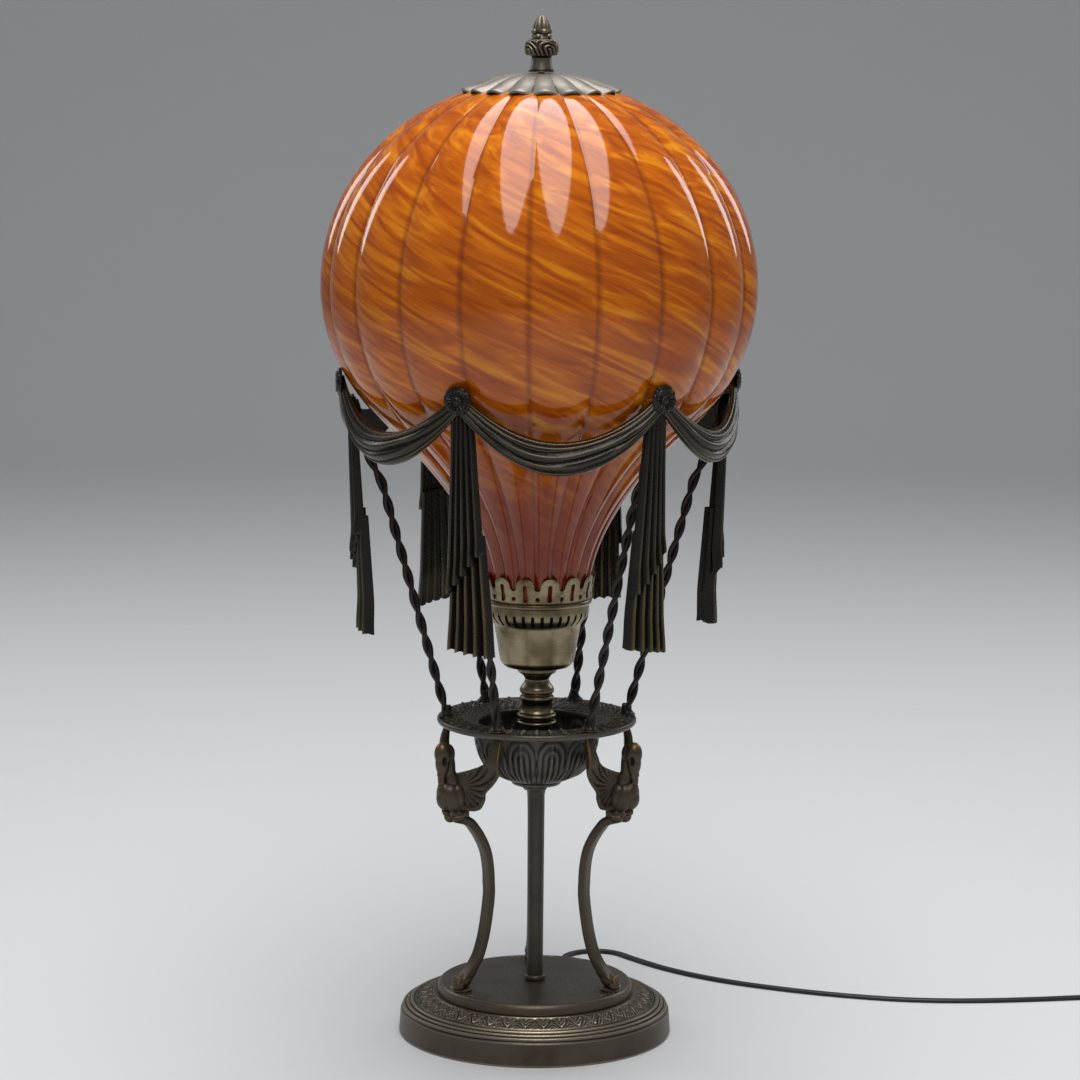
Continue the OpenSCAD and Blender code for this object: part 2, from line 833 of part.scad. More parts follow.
// Drapery
function swag_share(k) = abs(2 * k / swag_rows - 1);
function swag_half(k) = let (s = pow(swag_share(k), 2)) (swag_mid_h + (swag_end_h - swag_mid_h) * s) / 2;
function swag_depth(k) = let (s = pow(swag_share(k), 2)) swag_mid_d + (swag_end_d - swag_mid_d) * s;
function swag_height(k) = swag_end_z - swag_drop * (1 - pow(swag_share(k), 2));
swag_cols = 2 * swag_folds;
function swag_row(k, back) =
    let (a = -29.7 + 59.4 * k / swag_rows)
    [
        for (j = [0:swag_cols])
            let (u = 90 - 180 * j / swag_cols)
            let (fold = j % 2 == 1 ? 0 : 1.4)
            let (r = drape_r - swag_depth(k) + (back ? 0 : (swag_depth(k) - fold) * cos(u) + (j % swag_cols == 0 ? 0.5 : 0)))
            spoke_point(r, a, swag_height(k) + swag_half(k) * sin(u))
    ];

module swag(a) {
    rows = [0:swag_rows];
    color("#211f1e") spoke(a) slab([for (k = rows) swag_row(k, false)], [for (k = rows) swag_row(k, true)]);
}

module rosettes() {
    color("#2b2825")
    for (k = [0:5])
        spoke(drape_turn + 60 * k)
            translate([drape_r, 0, drape_z])
                rotate([0, 90, 0]) {
                    cylinder(r = rosette_r * 0.8, h = rosette_t * 0.6);
                    for (i = [0:petal_n - 1])
                        rotate([0, 0, i * 360 / petal_n])
                            translate([rosette_r * 0.8, 0, 0]) cylinder(r = rosette_r * 0.2, h = rosette_t * 0.75, $fn = 16);
                    cylinder(r = rosette_r * 0.3, h = rosette_t);
                }
}

// Tails, a wide upper fall with a slanted hem over a narrower lower one
tail_top = drape_z - 9.5;
tail_cols = 2 * tail_folds;
hem_high = 0.565;
hem_low = 0.765;
function tail_w(s) = tail_top_w + (tail_hem_w - tail_top_w) * pow(s, 1.25);
function tail_row(low, high, s, drop, inset) = [
    for (j = [0:tail_cols])
        let (u = j / tail_cols)
        let (z = low + (high - low) * u)
        let (v = s * z)
        let (fold = (j % 2 == 0 ? 1 : 0) * (1 + 2.6 * v))
        let (bow = pow(2 * u - 1, 2) * (1.5 + 3.5 * v))
        [
            tail_face - drop - tail_lean * v - (inset == 0 ? fold : inset + fold * 0.7) - bow,
            tail_w(v) * (u - 0.5),
            tail_top - tail_len * v
        ]
];

module tail(a) {
    upper = [1, 0.8, 0.6, 0.4, 0.2, 0];
    lower = [1, 0.87, 0.7, 0.5];
    color("#1e1c1b")
    spoke(a)
        union() {
            slab(
                [for (s = upper) tail_row(hem_low, hem_high, s, 0, 0)],
                [for (s = upper) tail_row(hem_low, hem_high, s, 0, tail_t)]
            );
            slab(
                [for (s = lower) tail_row(0.97, 1, s, 2, 0)],
                [for (s = lower) tail_row(0.97, 1, s, 2, tail_t)]
            );
        }
}

// Stem and cup
module stem_baluster() {
    top = cup_z;
    color("#8d7b4e")
    difference() {
        turned_piece(concat(
            [[0, bowl_floor], [stem_r - 3, bowl_floor], [stem_r - 4, bowl_floor + 3], [stem_r - 4, top - 43.4]],
            bead(stem_r, stem_r - 2, top - 43, top - 39.4),
            [[stem_r - 2.6, top - 39]],
            bead(stem_r, stem_r - 2.2, top - 38.6, top - 34.2),
            [[stem_r - 1.8, top - 33.4], [stem_r - 3, top - 31.6], [stem_r - 3.3, top - 25.4]],
            bead(stem_r - 1.8, stem_r - 2.8, top - 24.8, top - 21.8),
            [[stem_r - 3.6, top - 21.2], [stem_r - 3.2, top - 20.4], [stem_r - 1.8, top - 19.2]],
            [[stem_r - 1.6, top - 17.8], [stem_r - 2.3, top - 15.8], [stem_r - 4.2, top - 13.2]],
            [[stem_r - 5.4, top - 11], [stem_r - 5.4, top - 9.4], [stem_r - 3.4, top - 6.4]],
            [[stem_r - 0.4, top - 4.6], [stem_r, top - 3.8], [stem_r, top], [0, top]]
        ));
        post(rod_r + slip_gap, bowl_floor - 1, top + 1);
    }
}

function cup_outline(inset) = [
    [cup_floor_r - inset, cup_z + inset],
    [cup_floor_r + 1.8 - inset, cup_z + cup_h * 0.035],
    [cup_floor_r + 3.2 - inset, cup_z + cup_h * 0.08],
    [cup_floor_r + 4.4 - inset, cup_z + cup_h * 0.2],
    [cup_floor_r + 5.6 - inset, cup_z + cup_h * 0.357],
    [cup_floor_r + 7 - inset, cup_z + cup_h * 0.5],
    [cup_floor_r + 8.2 - inset, cup_z + cup_h * 0.61],
    [cup_r - 2.6 - inset, cup_z + cup_h * 0.74],
    [cup_r - 2 - inset, cup_z + cup_h * 0.88]
];

// Upright slot with round ends, seen from outside
module slot_shape(w, len) {
    translate([-w / 2, -len / 2 + w / 2]) square([w, len - w]);
    for (y = [-1, 1])
        translate([0, y * (len - w) / 2]) circle(r = w / 2, $fn = 24);
}

module socket_cup() {
    rim = cup_z + cup_h * 0.895;
    color("#8f8057")
    difference() {
        turned_piece(concat(
            [[0, cup_z]],
            cup_outline(0),
            bead(cup_r, cup_r - 2, rim, cup_top - 0.8),
            [[band_r, cup_top - 0.8], [band_r, cup_top], [0, cup_top]]
        ));
        turned_piece(concat(
            [[0, cup_z + cup_t]],
            cup_outline(cup_t),
            [[cup_r - 2 - cup_t, cup_top - cup_t], [rim_hole_r, cup_top - cup_t], [rim_hole_r, cup_top + 1], [0, cup_top + 1]]
        ));
        post(rod_r + slip_gap, cup_z - 1, cup_z + cup_t + 1);
        for (i = [0:slot_n - 1])
            spoke(i * 360 / slot_n)
                translate([cup_floor_r + 4, 0, cup_z + cup_h * 0.72])
                    rotate([90, 0, 90])
                        linear_extrude(cup_r - cup_floor_r) slot_shape(slot_w, slot_len);
    }
}
// Hole in the rim that the glass stands on
rim_hole_r = neck_r - glass_t + 0.5;

// The opening between two arches of the gallery, seen from outside: a U with the arches' flanks above it
arch_pitch = 360 / arch_n;
arch_tip = 0.15;
band_r = bezier(neck_r, neck_r + 0.4, neck_hold[0], neck_from[0], 0.05) + move_gap + gallery_t;
arch_room = 2 * 3.14159 * band_r / arch_n;
arch_w = arch_room * 0.72;
notch_r = (arch_room - arch_w) / 2;
notch_z = gallery_h * 0.49 + notch_r;
spring_z = gallery_h + arch_tip - arch_w / 2;
function flank(side) = [
    for (i = [0:6])
        let (t = side > 0 ? 15 * i : 90 - 15 * i)
        [side * (arch_room / 2 - arch_w / 2 * cos(t)), spring_z + arch_w / 2 * sin(t)]
];
module gallery_notch() {
    polygon(concat(
        [for (t = [180:30:360]) [notch_r * cos(t), notch_z + notch_r * sin(t)]],
        flank(1),
        flank(-1)
    ));
}

module shade_gallery() {
    color("#8f8057")
    difference() {
        turned_piece([
            [band_r - gallery_t, cup_top],
            [band_r, cup_top],
            [band_r, cup_top + gallery_h * 0.3],
            [band_r + gallery_flare, cup_top + gallery_h],
            [band_r + gallery_flare - gallery_t, cup_top + gallery_h],
            [band_r - gallery_t, cup_top + gallery_h * 0.3]
        ]);
        for (i = [0:arch_n - 1]) {
            spoke(i * arch_pitch)
                translate([band_r / 2, 0, cup_top + gallery_h * 0.4])
                    rotate([90, 0, 90])
                        linear_extrude(band_r) slot_shape(3.2, gallery_h * 0.7);
            spoke((i + 0.5) * arch_pitch) {
                translate([band_r / 2, 0, cup_top])
                    rotate([90, 0, 90])
                        linear_extrude(band_r) gallery_notch();
                translate([band_r / 2, 0, cup_top + gallery_h * 0.18])
                    rotate([0, 90, 0])
                        cylinder(r = 1.4, h = band_r, $fn = 16);
            }
        }
    }
}

// Lamp holder and bulb
holder_floor = socket_z + 10;
contact_t = 1.2;
bulb_z = holder_floor + contact_t + 1.6;
module lamp_socket() {
    color("#26211d")
    difference() {
        turned_piece([
            [0, socket_z],
            [socket_r - 3, socket_z],
            [socket_r, socket_z + 4],
            [socket_r, socket_z + socket_h - 2],
            [socket_r - 1.5, socket_z + socket_h],
            [0, socket_z + socket_h]
        ]);
        post(bulb_cap_r + 2 * move_gap, holder_floor, socket_z + socket_h + 1);
        post(rod_r + slip_gap, socket_z - 1, rod_top + 1);
    }
}

module socket_contact() {
    color("#b08a3c") post(bulb_cap_r * 0.55, holder_floor, holder_floor + contact_t);
}

module bulb_base() {
    color("#b9b4a6")
    union() {
        post(bulb_cap_r * 0.35, holder_floor + contact_t + move_gap, bulb_z + 1);
        post(bulb_cap_r, bulb_z, bulb_z + bulb_cap_h);
    }
}

module bulb_glass() {
    z = bulb_z + bulb_cap_h;
    widest = z + bulb_h - bulb_r;
    color("#f2efe6")
    turned_piece(concat(
        [[0, z], [bulb_cap_r, z], [bulb_cap_r + 1, z + 6]],
        [for (t = [0.25:0.25:0.75])
            [
                bulb_cap_r + 1 + (bulb_r - bulb_cap_r - 1) * (1 - cos(180 * t)) / 2,
                z + 6 + (widest - z - 6) * t
            ]],
        [for (a = [0:15:90]) [bulb_r * cos(a), widest + bulb_r * sin(a)]]
    ));
}

// Balloon of ribbed glass
rib_steps = 4;
function rib_dip(k) = pow(2 * (k % rib_steps) / rib_steps - 1, 2);
function glass_ring(p) = [
    for (k = [0:rib_n * rib_steps - 1])
        let (dip = groove_d * pow(p[0] / belly_r, 0.5) * rib_dip(k))
        spoke_point(p[0] - dip, groove_turn + k * 360 / rib_n / rib_steps, p[1])
];

module balloon_shade() {
    inner = glass_line(glass_t);
    last = inner[len(inner) - 1];
    color("#b5560f")
    difference() {
        skin([for (p = glass_line(0)) glass_ring(p)]);
        turned_piece(concat(
            [[0, glass_z - 1], [neck_r - glass_t, glass_z - 1]],
            inner,
            [[vent_r, last[1]], [vent_r, crown_z + 1], [0, crown_z + 1]]
        ), 180);
    }
}

// Cap, its spring and the finial
cap_seat_r = finial_r + 4.5;
function cap_line(lift) = [
    for (i = [0:8])
        let (s = i / 8)
        [cap_seat_r + (cap_r - cap_seat_r) * s, cap_z + lift + (cap_h - cap_t) * (1 - pow(s, 1.8))]
];

module scallops() {
    r = 3.14159 * cap_r / scallop_n;
    union() {
        circle(r = cap_r - r * 0.8, $fn = 96);
        for (i = [0:scallop_n - 1])
            rotate(scallop_turn + (i + 0.5) * 360 / scallop_n)
                translate([cap_r - r * 1.08, 0])
                    circle(r = r * 1.08, $fn = 32);
    }
}

module shade_cap() {
    under = cap_line(0);
    color("#6a6459")
    difference() {
        intersection() {
            turned_piece(concat(
                [[0, cap_top]],
                cap_line(cap_t),
                [for (i = [8:-1:0]) under[i]],
                [[0, cap_under]]
            ));
            translate([0, 0, cap_z - 1]) linear_extrude(cap_h + 2) scallops();
        }
        post(stud_r + slip_gap, cap_under - 1, cap_top + 1);
    }
}

spring_t = 1.2;
spring_w = 9;
spring_drop = 9;
spring_arm_r = cap_seat_r - 2.8;
module cap_spring() {
    top = cap_under;
    reach = vent_r - 2 * move_gap;
    color("#9a9383")
    difference() {
        union() {
            post(spring_w, top - spring_t, top);
            for (a = [0:120:240])
                spoke(a) {
                    translate([0, -spring_w / 2, top - spring_t])
                        cube([spring_arm_r + spring_t, spring_w, spring_t]);
                    translate([spring_arm_r, -spring_w / 2, crown_z - spring_drop])
                        cube([spring_t, spring_w, top - crown_z + spring_drop]);
                    translate([spring_arm_r, -spring_w / 2, crown_z - spring_drop])
                        cube([reach - spring_arm_r, spring_w, spring_t]);
                    translate([reach - spring_t, -spring_w / 2, crown_z - spring_drop])
                        cube([spring_t, spring_w, spring_drop - 1]);
                }
        }
        post(stud_r + slip_gap, top - spring_t - 1, top + 1);
    }
}

stud_head_r = 5;
stud_head_h = 3;
stud_grip = 14;
module finial_stud() {
    under = cap_under - spring_t;
    color("#9a8a56")
    union() {
        post(stud_r, under, cap_top + stud_grip);
        post(stud_head_r, under - stud_head_h, under);
    }
}

function finial_level(s) = finial_z + finial_h * s;
module finial() {
    color("#5d554a")
    difference() {
        union() {
            turned_piece(concat(
                [[0, finial_z]],
                bead(finial_r, finial_r - 0.8, finial_z, finial_level(0.07)),
                [[finial_r - 1.4, finial_level(0.08)], [finial_r - 1.3, finial_level(0.13)]],
                [[finial_r - 2, finial_level(0.16)], [finial_r - 2.2, finial_level(0.27)]],
                bead(knop_r, finial_r - 2.6, finial_level(0.29), finial_level(0.57)),
                [[finial_r - 3.6, finial_level(0.6)], [finial_r - 3.2, finial_level(0.68)]],
                bead(knop_r * 0.62, knop_r * 0.45, finial_level(0.69), finial_level(0.77)),
                [[knop_r * 0.52, finial_level(0.82)], [knop_r * 0.42, finial_level(0.9)]],
                [[knop_r * 0.2, finial_level(0.97)], [0, finial_level(1)]]
            ));
            for (i = [0:7])
                spoke(i * 45)
                    translate([knop_r * 0.56, 0, finial_level(0.73)]) sphere(r = knop_r * 0.18, $fn = 16);
        }
        post(stud_r + stud_gap, finial_z - 1, cap_top + stud_grip + 1);
    }
}

// Lead on the table, in points chosen by hand; it turns round behind the foot
lead_section = oval(lead_w, lead_t, 8);
coil_at = [462, 52];
coil_z = 2.5;
LOOP_MID = [47, 186];
loop_r = 24.5;
RUN_ROUTE = concat(
    [
        [22.2, 127, 8.6],
        [22.8, 136.5, 7.2],
        [23, 146.5, 4.9],
        [22.9, 157, 2.7],
        [22.6, 167.5, 1.6],
        [22.5, 177.5, 1.5]
    ],
    [for (a = [180:-20:40]) [LOOP_MID[0] + loop_r * cos(a), LOOP_MID[1] + loop_r * sin(a), 1.5]],
    [
        [71.7, 193.8, 1.5],
        [79, 184.5, 1.5],
        [88, 173.5, 1.5],
        [101, 159.5, 1.5],
        [119, 143.6, 1.5],
        [142, 127.6, 1.5],
        [170, 112.5, 1.5],
        [202, 98.8, 1.5],
        [236, 87.5, 1.5],
        [270, 79.8, 1.5],
        [304, 77, 1.5],
        [340, 78.6, 1.5],
        [375, 83, 1.5],
        [405, 88, 1.6],
        [430, 91.4, 2]
    ]
);
TAIL_ROUTE = [
    [502.6, 36, 4.7],
    [503, 28, 4.6]
];
PLUG_ROUTE = [
    [503, -50, 4.6],
    [502, -62, 3],
    [498, -76, 1.8],
    [490, -89, 2],
    [478, -98.5, 3.6],
    [465, -103, 5.6]
];
switch_at = [503, 20];
plug_at = [452, -104];
plug_z = 7;

// The route again with points between, on a smooth curve through all of them
function along(p, i, t) =
    let (a = p[max(i - 1, 0)])
    let (b = p[i])
    let (c = p[i + 1])
    let (d = p[min(i + 2, len(p) - 1)])
    0.5 * (2 * b + (c - a) * t + (2 * a - 5 * b + 4 * c - d) * t * t + (3 * b - a - 3 * c + d) * t * t * t);
function smooth(p, n) = concat(
    [for (i = [0:len(p) - 2], k = [0:n - 1]) along(p, i, k / n)],
    [p[len(p) - 1]]
);
exit_point = spoke_point(exit_reach, exit_turn, exit_z);
coil_start = [coil_at[0] - lead_w, coil_at[1] + coil_r, coil_z];
lead_split = 0.2;
run_way = concat([exit_point], RUN_ROUTE, [coil_start - [lead_split, 0, 0]]);

module lead_piece(way) {
    skin([for (i = [0:len(way) - 1]) ring_at(way, i, lead_section, [0, 0, 1])]);
}

module cord_run() {
    color("#18181a") lead_piece(smooth(run_way, 2));
}

// Coil in two layers: in on the table, a climb where the spiral turns back, and out on top
coil_pitch = lead_w + 0.7;
layer_rise = lead_t + 0.5;
coil_steps = 24;
coil_rings = floor(coil_turns * coil_steps);
function coil_point(i) =
    let (turn = i / coil_steps)
    let (half = coil_turns / 2)
    let (r = coil_r - coil_pitch * (turn < half ? turn : coil_turns - turn))
    let (up = min(1, max(0, (turn - half + 0.25) * 2)))
    let (a = 90 - 360 * turn)
    [coil_at[0] + r * cos(a), coil_at[1] + r * sin(a), coil_z + layer_rise * up];
coil_end = coil_point(coil_rings) - [0, lead_w, 0];
coil_way = concat([coil_start], [for (i = [0:coil_rings]) coil_point(i)], [coil_end]);
coil_section = oval(lead_w, lead_t, 6);

// Least distance between points of the coil's surface that are half a turn or more apart
function coil_gap(rings) = min([
    for (i = [0:len(coil_way) - 1])
        for (j = [i + coil_steps / 2:1:len(coil_way) - 1])
            if (norm(coil_way[i] - coil_way[j]) < 2 * lead_w)
                min([for (p = rings[i], q = rings[j]) norm(p - q)])
]);

module cord_coil() {
    rings = [for (i = [0:len(coil_way) - 1]) ring_at(coil_way, i, coil_section, [0, 0, 1])];
    echo(least_gap_in_coil = coil_gap(rings));
    color("#18181a") skin(rings);
}

module cord_tail() {
    into_switch = [switch_at[0], switch_at[1], 4.6];
    out_of_switch = [switch_at[0], switch_at[1] - switch_len, 4.6];
    into_plug = [plug_at[0], plug_at[1], plug_z];
    color("#18181a") {
        lead_piece(smooth(concat([coil_end - [0, lead_split, 0], coil_end - [0, 3, 0]], TAIL_ROUTE, [into_switch]), 2));
        lead_piece(smooth(concat([out_of_switch], PLUG_ROUTE, [into_plug]), 2));
    }
}

tie_t = 0.8;
tie_w = 6;
tie_a = 215;
module coil_tie() {
    low = coil_z - lead_t / 2 - slip_gap;
    high = coil_z + layer_rise + lead_t / 2 + 2 * slip_gap;
    far = coil_r + lead_w / 2 + slip_gap;
    near = coil_r - coil_pitch * (coil_turns / 2) - lead_w / 2 - slip_gap;
    color("#101012")
    translate([coil_at[0], coil_at[1], 0])
        spoke(tie_a)
            difference() {
                translate([near - tie_t, -tie_w / 2, low - tie_t])
                    cube([far - near + 2 * tie_t, tie_w, high - low + 2 * tie_t]);
                translate([near, -tie_w, low]) cube([far - near, 2 * tie_w, high - low]);
            }
}

// Switch on the lead, with its rocker in a pocket, and the plug
module rounded_bar(len_y, w, r) {
    translate([-w / 2 + r, 0]) square([w - 2 * r, len_y]);
    translate([-w / 2, r]) square([w, len_y - 2 * r]);
    for (x = [-w / 2 + r, w / 2 - r], y = [r, len_y - r])
        translate([x, y]) circle(r = r, $fn = 24);
}

rocker_len = 21;
rocker_w = 9;
rocker_pin_r = 1.5;
pocket_deep = 9;
rocker_z = switch_h - 3.5;
module switch_body() {
    round_r = switch_w * 0.3;
    color("#1a1a1c")
    translate([switch_at[0], switch_at[1] - switch_len, 0])
        difference() {
            union() {
                linear_extrude(switch_h * 0.45) rounded_bar(switch_len, switch_w, round_r);
                translate([0, 1.2, 0])
                    linear_extrude(switch_h) rounded_bar(switch_len - 2.4, switch_w - 2.4, round_r - 1);
            }
            translate([-rocker_w / 2 - move_gap, switch_len / 2 - rocker_len / 2 - 2, switch_h - pocket_deep])
                cube([rocker_w + 2 * move_gap, rocker_len + 4, pocket_deep + 1]);
            translate([-rocker_w / 2 - 2.5, switch_len / 2, rocker_z])
                rotate([0, 90, 0])
                    cylinder(r = rocker_pin_r + stud_gap, h = rocker_w + 5);
        }
}

module switch_rocker() {
    color("#26262a")
    translate([switch_at[0], switch_at[1] - switch_len / 2, rocker_z])
        rotate([-rocker_swing / 2, 0, 0]) {
            translate([-rocker_w / 2, 0, 0])
                rotate([90, 0, 90])
                    linear_extrude(rocker_w)
                        polygon([
                            [-rocker_len / 2, 4.6],
                            [-rocker_len / 2, 1.5],
                            [-4, -3.5],
                            [4, -3.5],
                            [rocker_len / 2, 1.5],
                            [rocker_len / 2, 4.6],
                            [0, 3.4]
                        ]);
            translate([-rocker_w / 2 - 2, 0, 0])
                rotate([0, 90, 0])
                    cylinder(r = rocker_pin_r, h = rocker_w + 4);
        }
}

plug_len = 35;
plug_w = 26;
plug_t = 13;
pin_r = 2;
pin_len = 19;
pin_gap = 18.6;
module plug_body() {
    color("#161618")
    translate([plug_at[0], plug_at[1], plug_z])
        rotate([0, 0, 90])
            difference() {
                translate([0, 0, -plug_t / 2])
                    linear_extrude(plug_t)
                        polygon([
                            [-4, 0],
                            [4, 0],
                            [7, 9],
                            [plug_w / 2, plug_len - 14],
                            [plug_w / 2, plug_len],
                            [-plug_w / 2, plug_len],
                            [-plug_w / 2, plug_len - 14],
                            [-7, 9]
                        ]);
                for (x = [-pin_gap / 2, pin_gap / 2])
                    translate([x, plug_len - 8, 0])
                        rotate([-90, 0, 0])
                            cylinder(r = pin_r + slip_gap, h = 10);
            }
}

module plug_pins() {
    color("#c9c4b4")
    translate([plug_at[0], plug_at[1], plug_z])
        rotate([0, 0, 90])
            for (x = [-pin_gap / 2, pin_gap / 2])
                translate([x, plug_len - 8, 0])
                    rotate([-90, 0, 0])
                        cylinder(r = pin_r, h = pin_len + 8);
}

// Everything in its place
base_plinth();
base_platform();
base_felt();
base_washer();
base_nut();
leg_screws();
cord_bushing();
supply_lead();
column_tube();
column_collar();
threaded_rod();
bowl_washer();
gondola_bowl();
gondola_ring();
rosettes();
for (k = [0:2]) {
    a = swan_turn + 120 * k;
    next_tip = 60 * ceil((a - rope_turn) / 60) + rope_turn;
    spoke(a) leg();
    spoke(a) swan(next_tip - a, a - next_tip + 60);
}
for (k = [0:5]) {
    rope(k);
    swag(drape_turn + 30 + 60 * k);
    tail(drape_turn + 60 * k);
}
stem_baluster();
socket_cup();
shade_gallery();
lamp_socket();
socket_contact();
bulb_base();
bulb_glass();
balloon_shade();
shade_cap();
cap_spring();
finial_stud();
finial();
cord_run();
cord_coil();
cord_tail();
coil_tie();
switch_body();
switch_rocker();
plug_body();
plug_pins();
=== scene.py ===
"""Looks of the balloon table lamp: cast bronze, brass, amber glass and a black lead.

Pieces are shaped in millimetres, as the frame's own source is, with the lamp's axis on Z. They are
brought to metres when they are settled.
"""

import logging
import math
from dataclasses import dataclass, field
from enum import Enum
from functools import partial
from typing import Callable, Iterable, Sequence

import bpy
import numpy as np
from mathutils import Matrix, Vector


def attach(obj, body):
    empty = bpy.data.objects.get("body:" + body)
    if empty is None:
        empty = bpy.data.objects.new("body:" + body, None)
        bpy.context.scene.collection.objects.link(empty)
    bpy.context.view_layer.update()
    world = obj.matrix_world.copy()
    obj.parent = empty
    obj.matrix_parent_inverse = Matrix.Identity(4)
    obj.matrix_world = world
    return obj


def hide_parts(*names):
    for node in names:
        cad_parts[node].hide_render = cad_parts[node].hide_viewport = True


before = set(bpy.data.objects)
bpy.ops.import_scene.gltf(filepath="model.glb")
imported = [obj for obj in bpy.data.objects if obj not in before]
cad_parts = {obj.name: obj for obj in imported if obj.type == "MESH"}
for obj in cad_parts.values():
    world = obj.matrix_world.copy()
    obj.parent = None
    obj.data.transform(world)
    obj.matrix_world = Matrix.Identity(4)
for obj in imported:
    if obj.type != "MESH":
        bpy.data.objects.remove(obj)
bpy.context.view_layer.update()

LOG = logging.getLogger("lamp")
MM = 0.001
# Radius in millimetres of the hole that the threaded rod goes through
ROD_HOLE_R = 4.95
# The legs' angles in degrees, from +X about the lamp's axis
LEG_TURNS = (212.0, 332.0, 452.0)
LEG_PLACES = ("front_left", "front_right", "back")
ROPE_PLACES = ("right", "back_right", "back_left", "left", "front_left", "front_right")
SWAG_PLACES = ("right_back", "back", "left_back", "left_front", "front", "right_front")
# Settings of the nodes that ease a range and that mix colours
EASED = {"interpolation_type": "SMOOTHSTEP"}
COLOURS = {"data_type": "RGBA"}
Points = np.ndarray
Place = tuple[float, float, float]
Inputs = dict[int | str, object]
AddNode = Callable[..., bpy.types.Node]


class Body(str, Enum):
    """Bodies of the frame that pieces ride on."""

    LAMP = "lamp"
    SHADE = "shade"
    CAP = "cap"
    KNOB = "finial_knob"
    BULB = "bulb"
    ROCKER = "rocker"


class Shading(Enum):
    """Angle in degrees past which an edge of a piece stays crisp."""

    ROUND = 180
    SOFT = 50
    CRISP = 30


# --- Small tools -------------------------------------------------------------------------------


def linear(colour: str) -> tuple[float, float, float, float]:
    """Turn an sRGB colour to the linear one that shaders take.

    Args:
        colour: Six hex digits with a leading #.

    Returns:
        Linear red, green and blue, and an alpha of 1.
    """
    parts = [int(colour[i : i + 2], 16) / 255 for i in (1, 3, 5)]
    red, green, blue = (c / 12.92 if c <= 0.04045 else ((c + 0.055) / 1.055) ** 2.4 for c in parts)
    return red, green, blue, 1.0


def add_node(
    tree: bpy.types.NodeTree, kind: str, inputs: Inputs | None = None, **settings: object
) -> bpy.types.Node:
    """Add a node, set what it has to be set and link what feeds it.

    Args:
        tree: Node tree that the node goes into.
        kind: Blender's name of the node type.
        inputs: Socket name or number with a value, or with the socket or node that feeds it. Of
            a node, its first output in use is taken.
        **settings: Properties of the node itself.

    Returns:
        The new node.
    """
    node = tree.nodes.new(kind)
    for name, value in settings.items():
        setattr(node, name, value)
    for socket, value in (inputs or {}).items():
        if isinstance(value, bpy.types.Node):
            value = next(output for output in value.outputs if output.enabled)
        if isinstance(value, bpy.types.NodeSocket):
            tree.links.new(value, node.inputs[socket])
        else:
            node.inputs[socket].default_value = value
    return node


def clear_selection() -> None:
    """Deselect every object, so that an operator acts on the next one alone."""
    bpy.ops.object.select_all(action="DESELECT")


def pick(piece: bpy.types.Object) -> None:
    """Select one piece alone, and make it the active one.

    Args:
        piece: Piece for the next operator.
    """
    clear_selection()
    piece.select_set(True)
    bpy.context.view_layer.objects.active = piece


def edit(piece: bpy.types.Object, work: Callable[[], object]) -> None:
    """Run an operator on the whole mesh of a piece in edit mode.

    Args:
        piece: Piece to work on.
        work: Call that runs the operator.
    """
    pick(piece)
    bpy.ops.object.mode_set(mode="EDIT")
    bpy.ops.mesh.select_all(action="SELECT")
    work()
    bpy.ops.object.mode_set(mode="OBJECT")


def weld(piece: bpy.types.Object, reach: float = 0.002) -> None:
    """Merge a piece's doubled points and turn its faces outwards.

    Args:
        piece: Piece to weld.
        reach: How far apart merged points may lie, in the piece's own unit.
    """

    def close_up() -> None:
        """Merge the points and turn the faces."""
        bpy.ops.mesh.remove_doubles(threshold=reach)
        bpy.ops.mesh.normals_make_consistent(inside=False)

    edit(piece, close_up)


def surface(name: str, rows: Points) -> bpy.types.Object:
    """Lay a primitive grid over rows of points.

    Args:
        name: Name of the piece.
        rows: Points as an array of rows, columns and three coordinates.

    Returns:
        The piece, not yet welded.
    """
    clear_selection()
    high, wide = rows.shape[0] - 1, rows.shape[1] - 1
    bpy.ops.mesh.primitive_grid_add(x_subdivisions=wide, y_subdivisions=high, size=1)
    piece = bpy.context.object
    piece.name = name
    piece.data.name = name
    piece.data.vertices.foreach_set("co", rows.astype(np.float32).ravel())
    piece.data.update()
    return piece


def polar(radius: Points, angle: Points, height: Points) -> Points:
    """Make points from radii, angles and heights.

    Args:
        radius: Distances from the axis.
        angle: Degrees round the axis, from +X.
        height: Heights.

    Returns:
        The points, with their coordinates on the last axis.
    """
    turn = np.radians(angle)
    radius, turn, height = np.broadcast_arrays(radius, turn, height)
    return np.stack([radius * np.cos(turn), radius * np.sin(turn), height], -1)


def smooth_step(value: Points, low: float, high: float) -> Points:
    """A value's share of the way from low to high, eased at both ends."""
    share = np.clip((value - low) / (high - low), 0, 1)
    return share * share * (3 - 2 * share)


def dense(outline: Sequence[Sequence[float]], step: float) -> Points:
    """Add points to an outline until no stretch is longer than a step.

    Args:
        outline: Points of the outline.
        step: Longest stretch that is left.

    Returns:
        The outline with the points between.
    """
    found = [np.array(outline[0], float)]
    for first, last in zip(outline[:-1], outline[1:]):
        first, last = np.array(first, float), np.array(last, float)
        count = max(1, math.ceil(np.linalg.norm(last - first) / step))
        found += [first + (last - first) * (i + 1) / count for i in range(count)]
    return np.array(found)


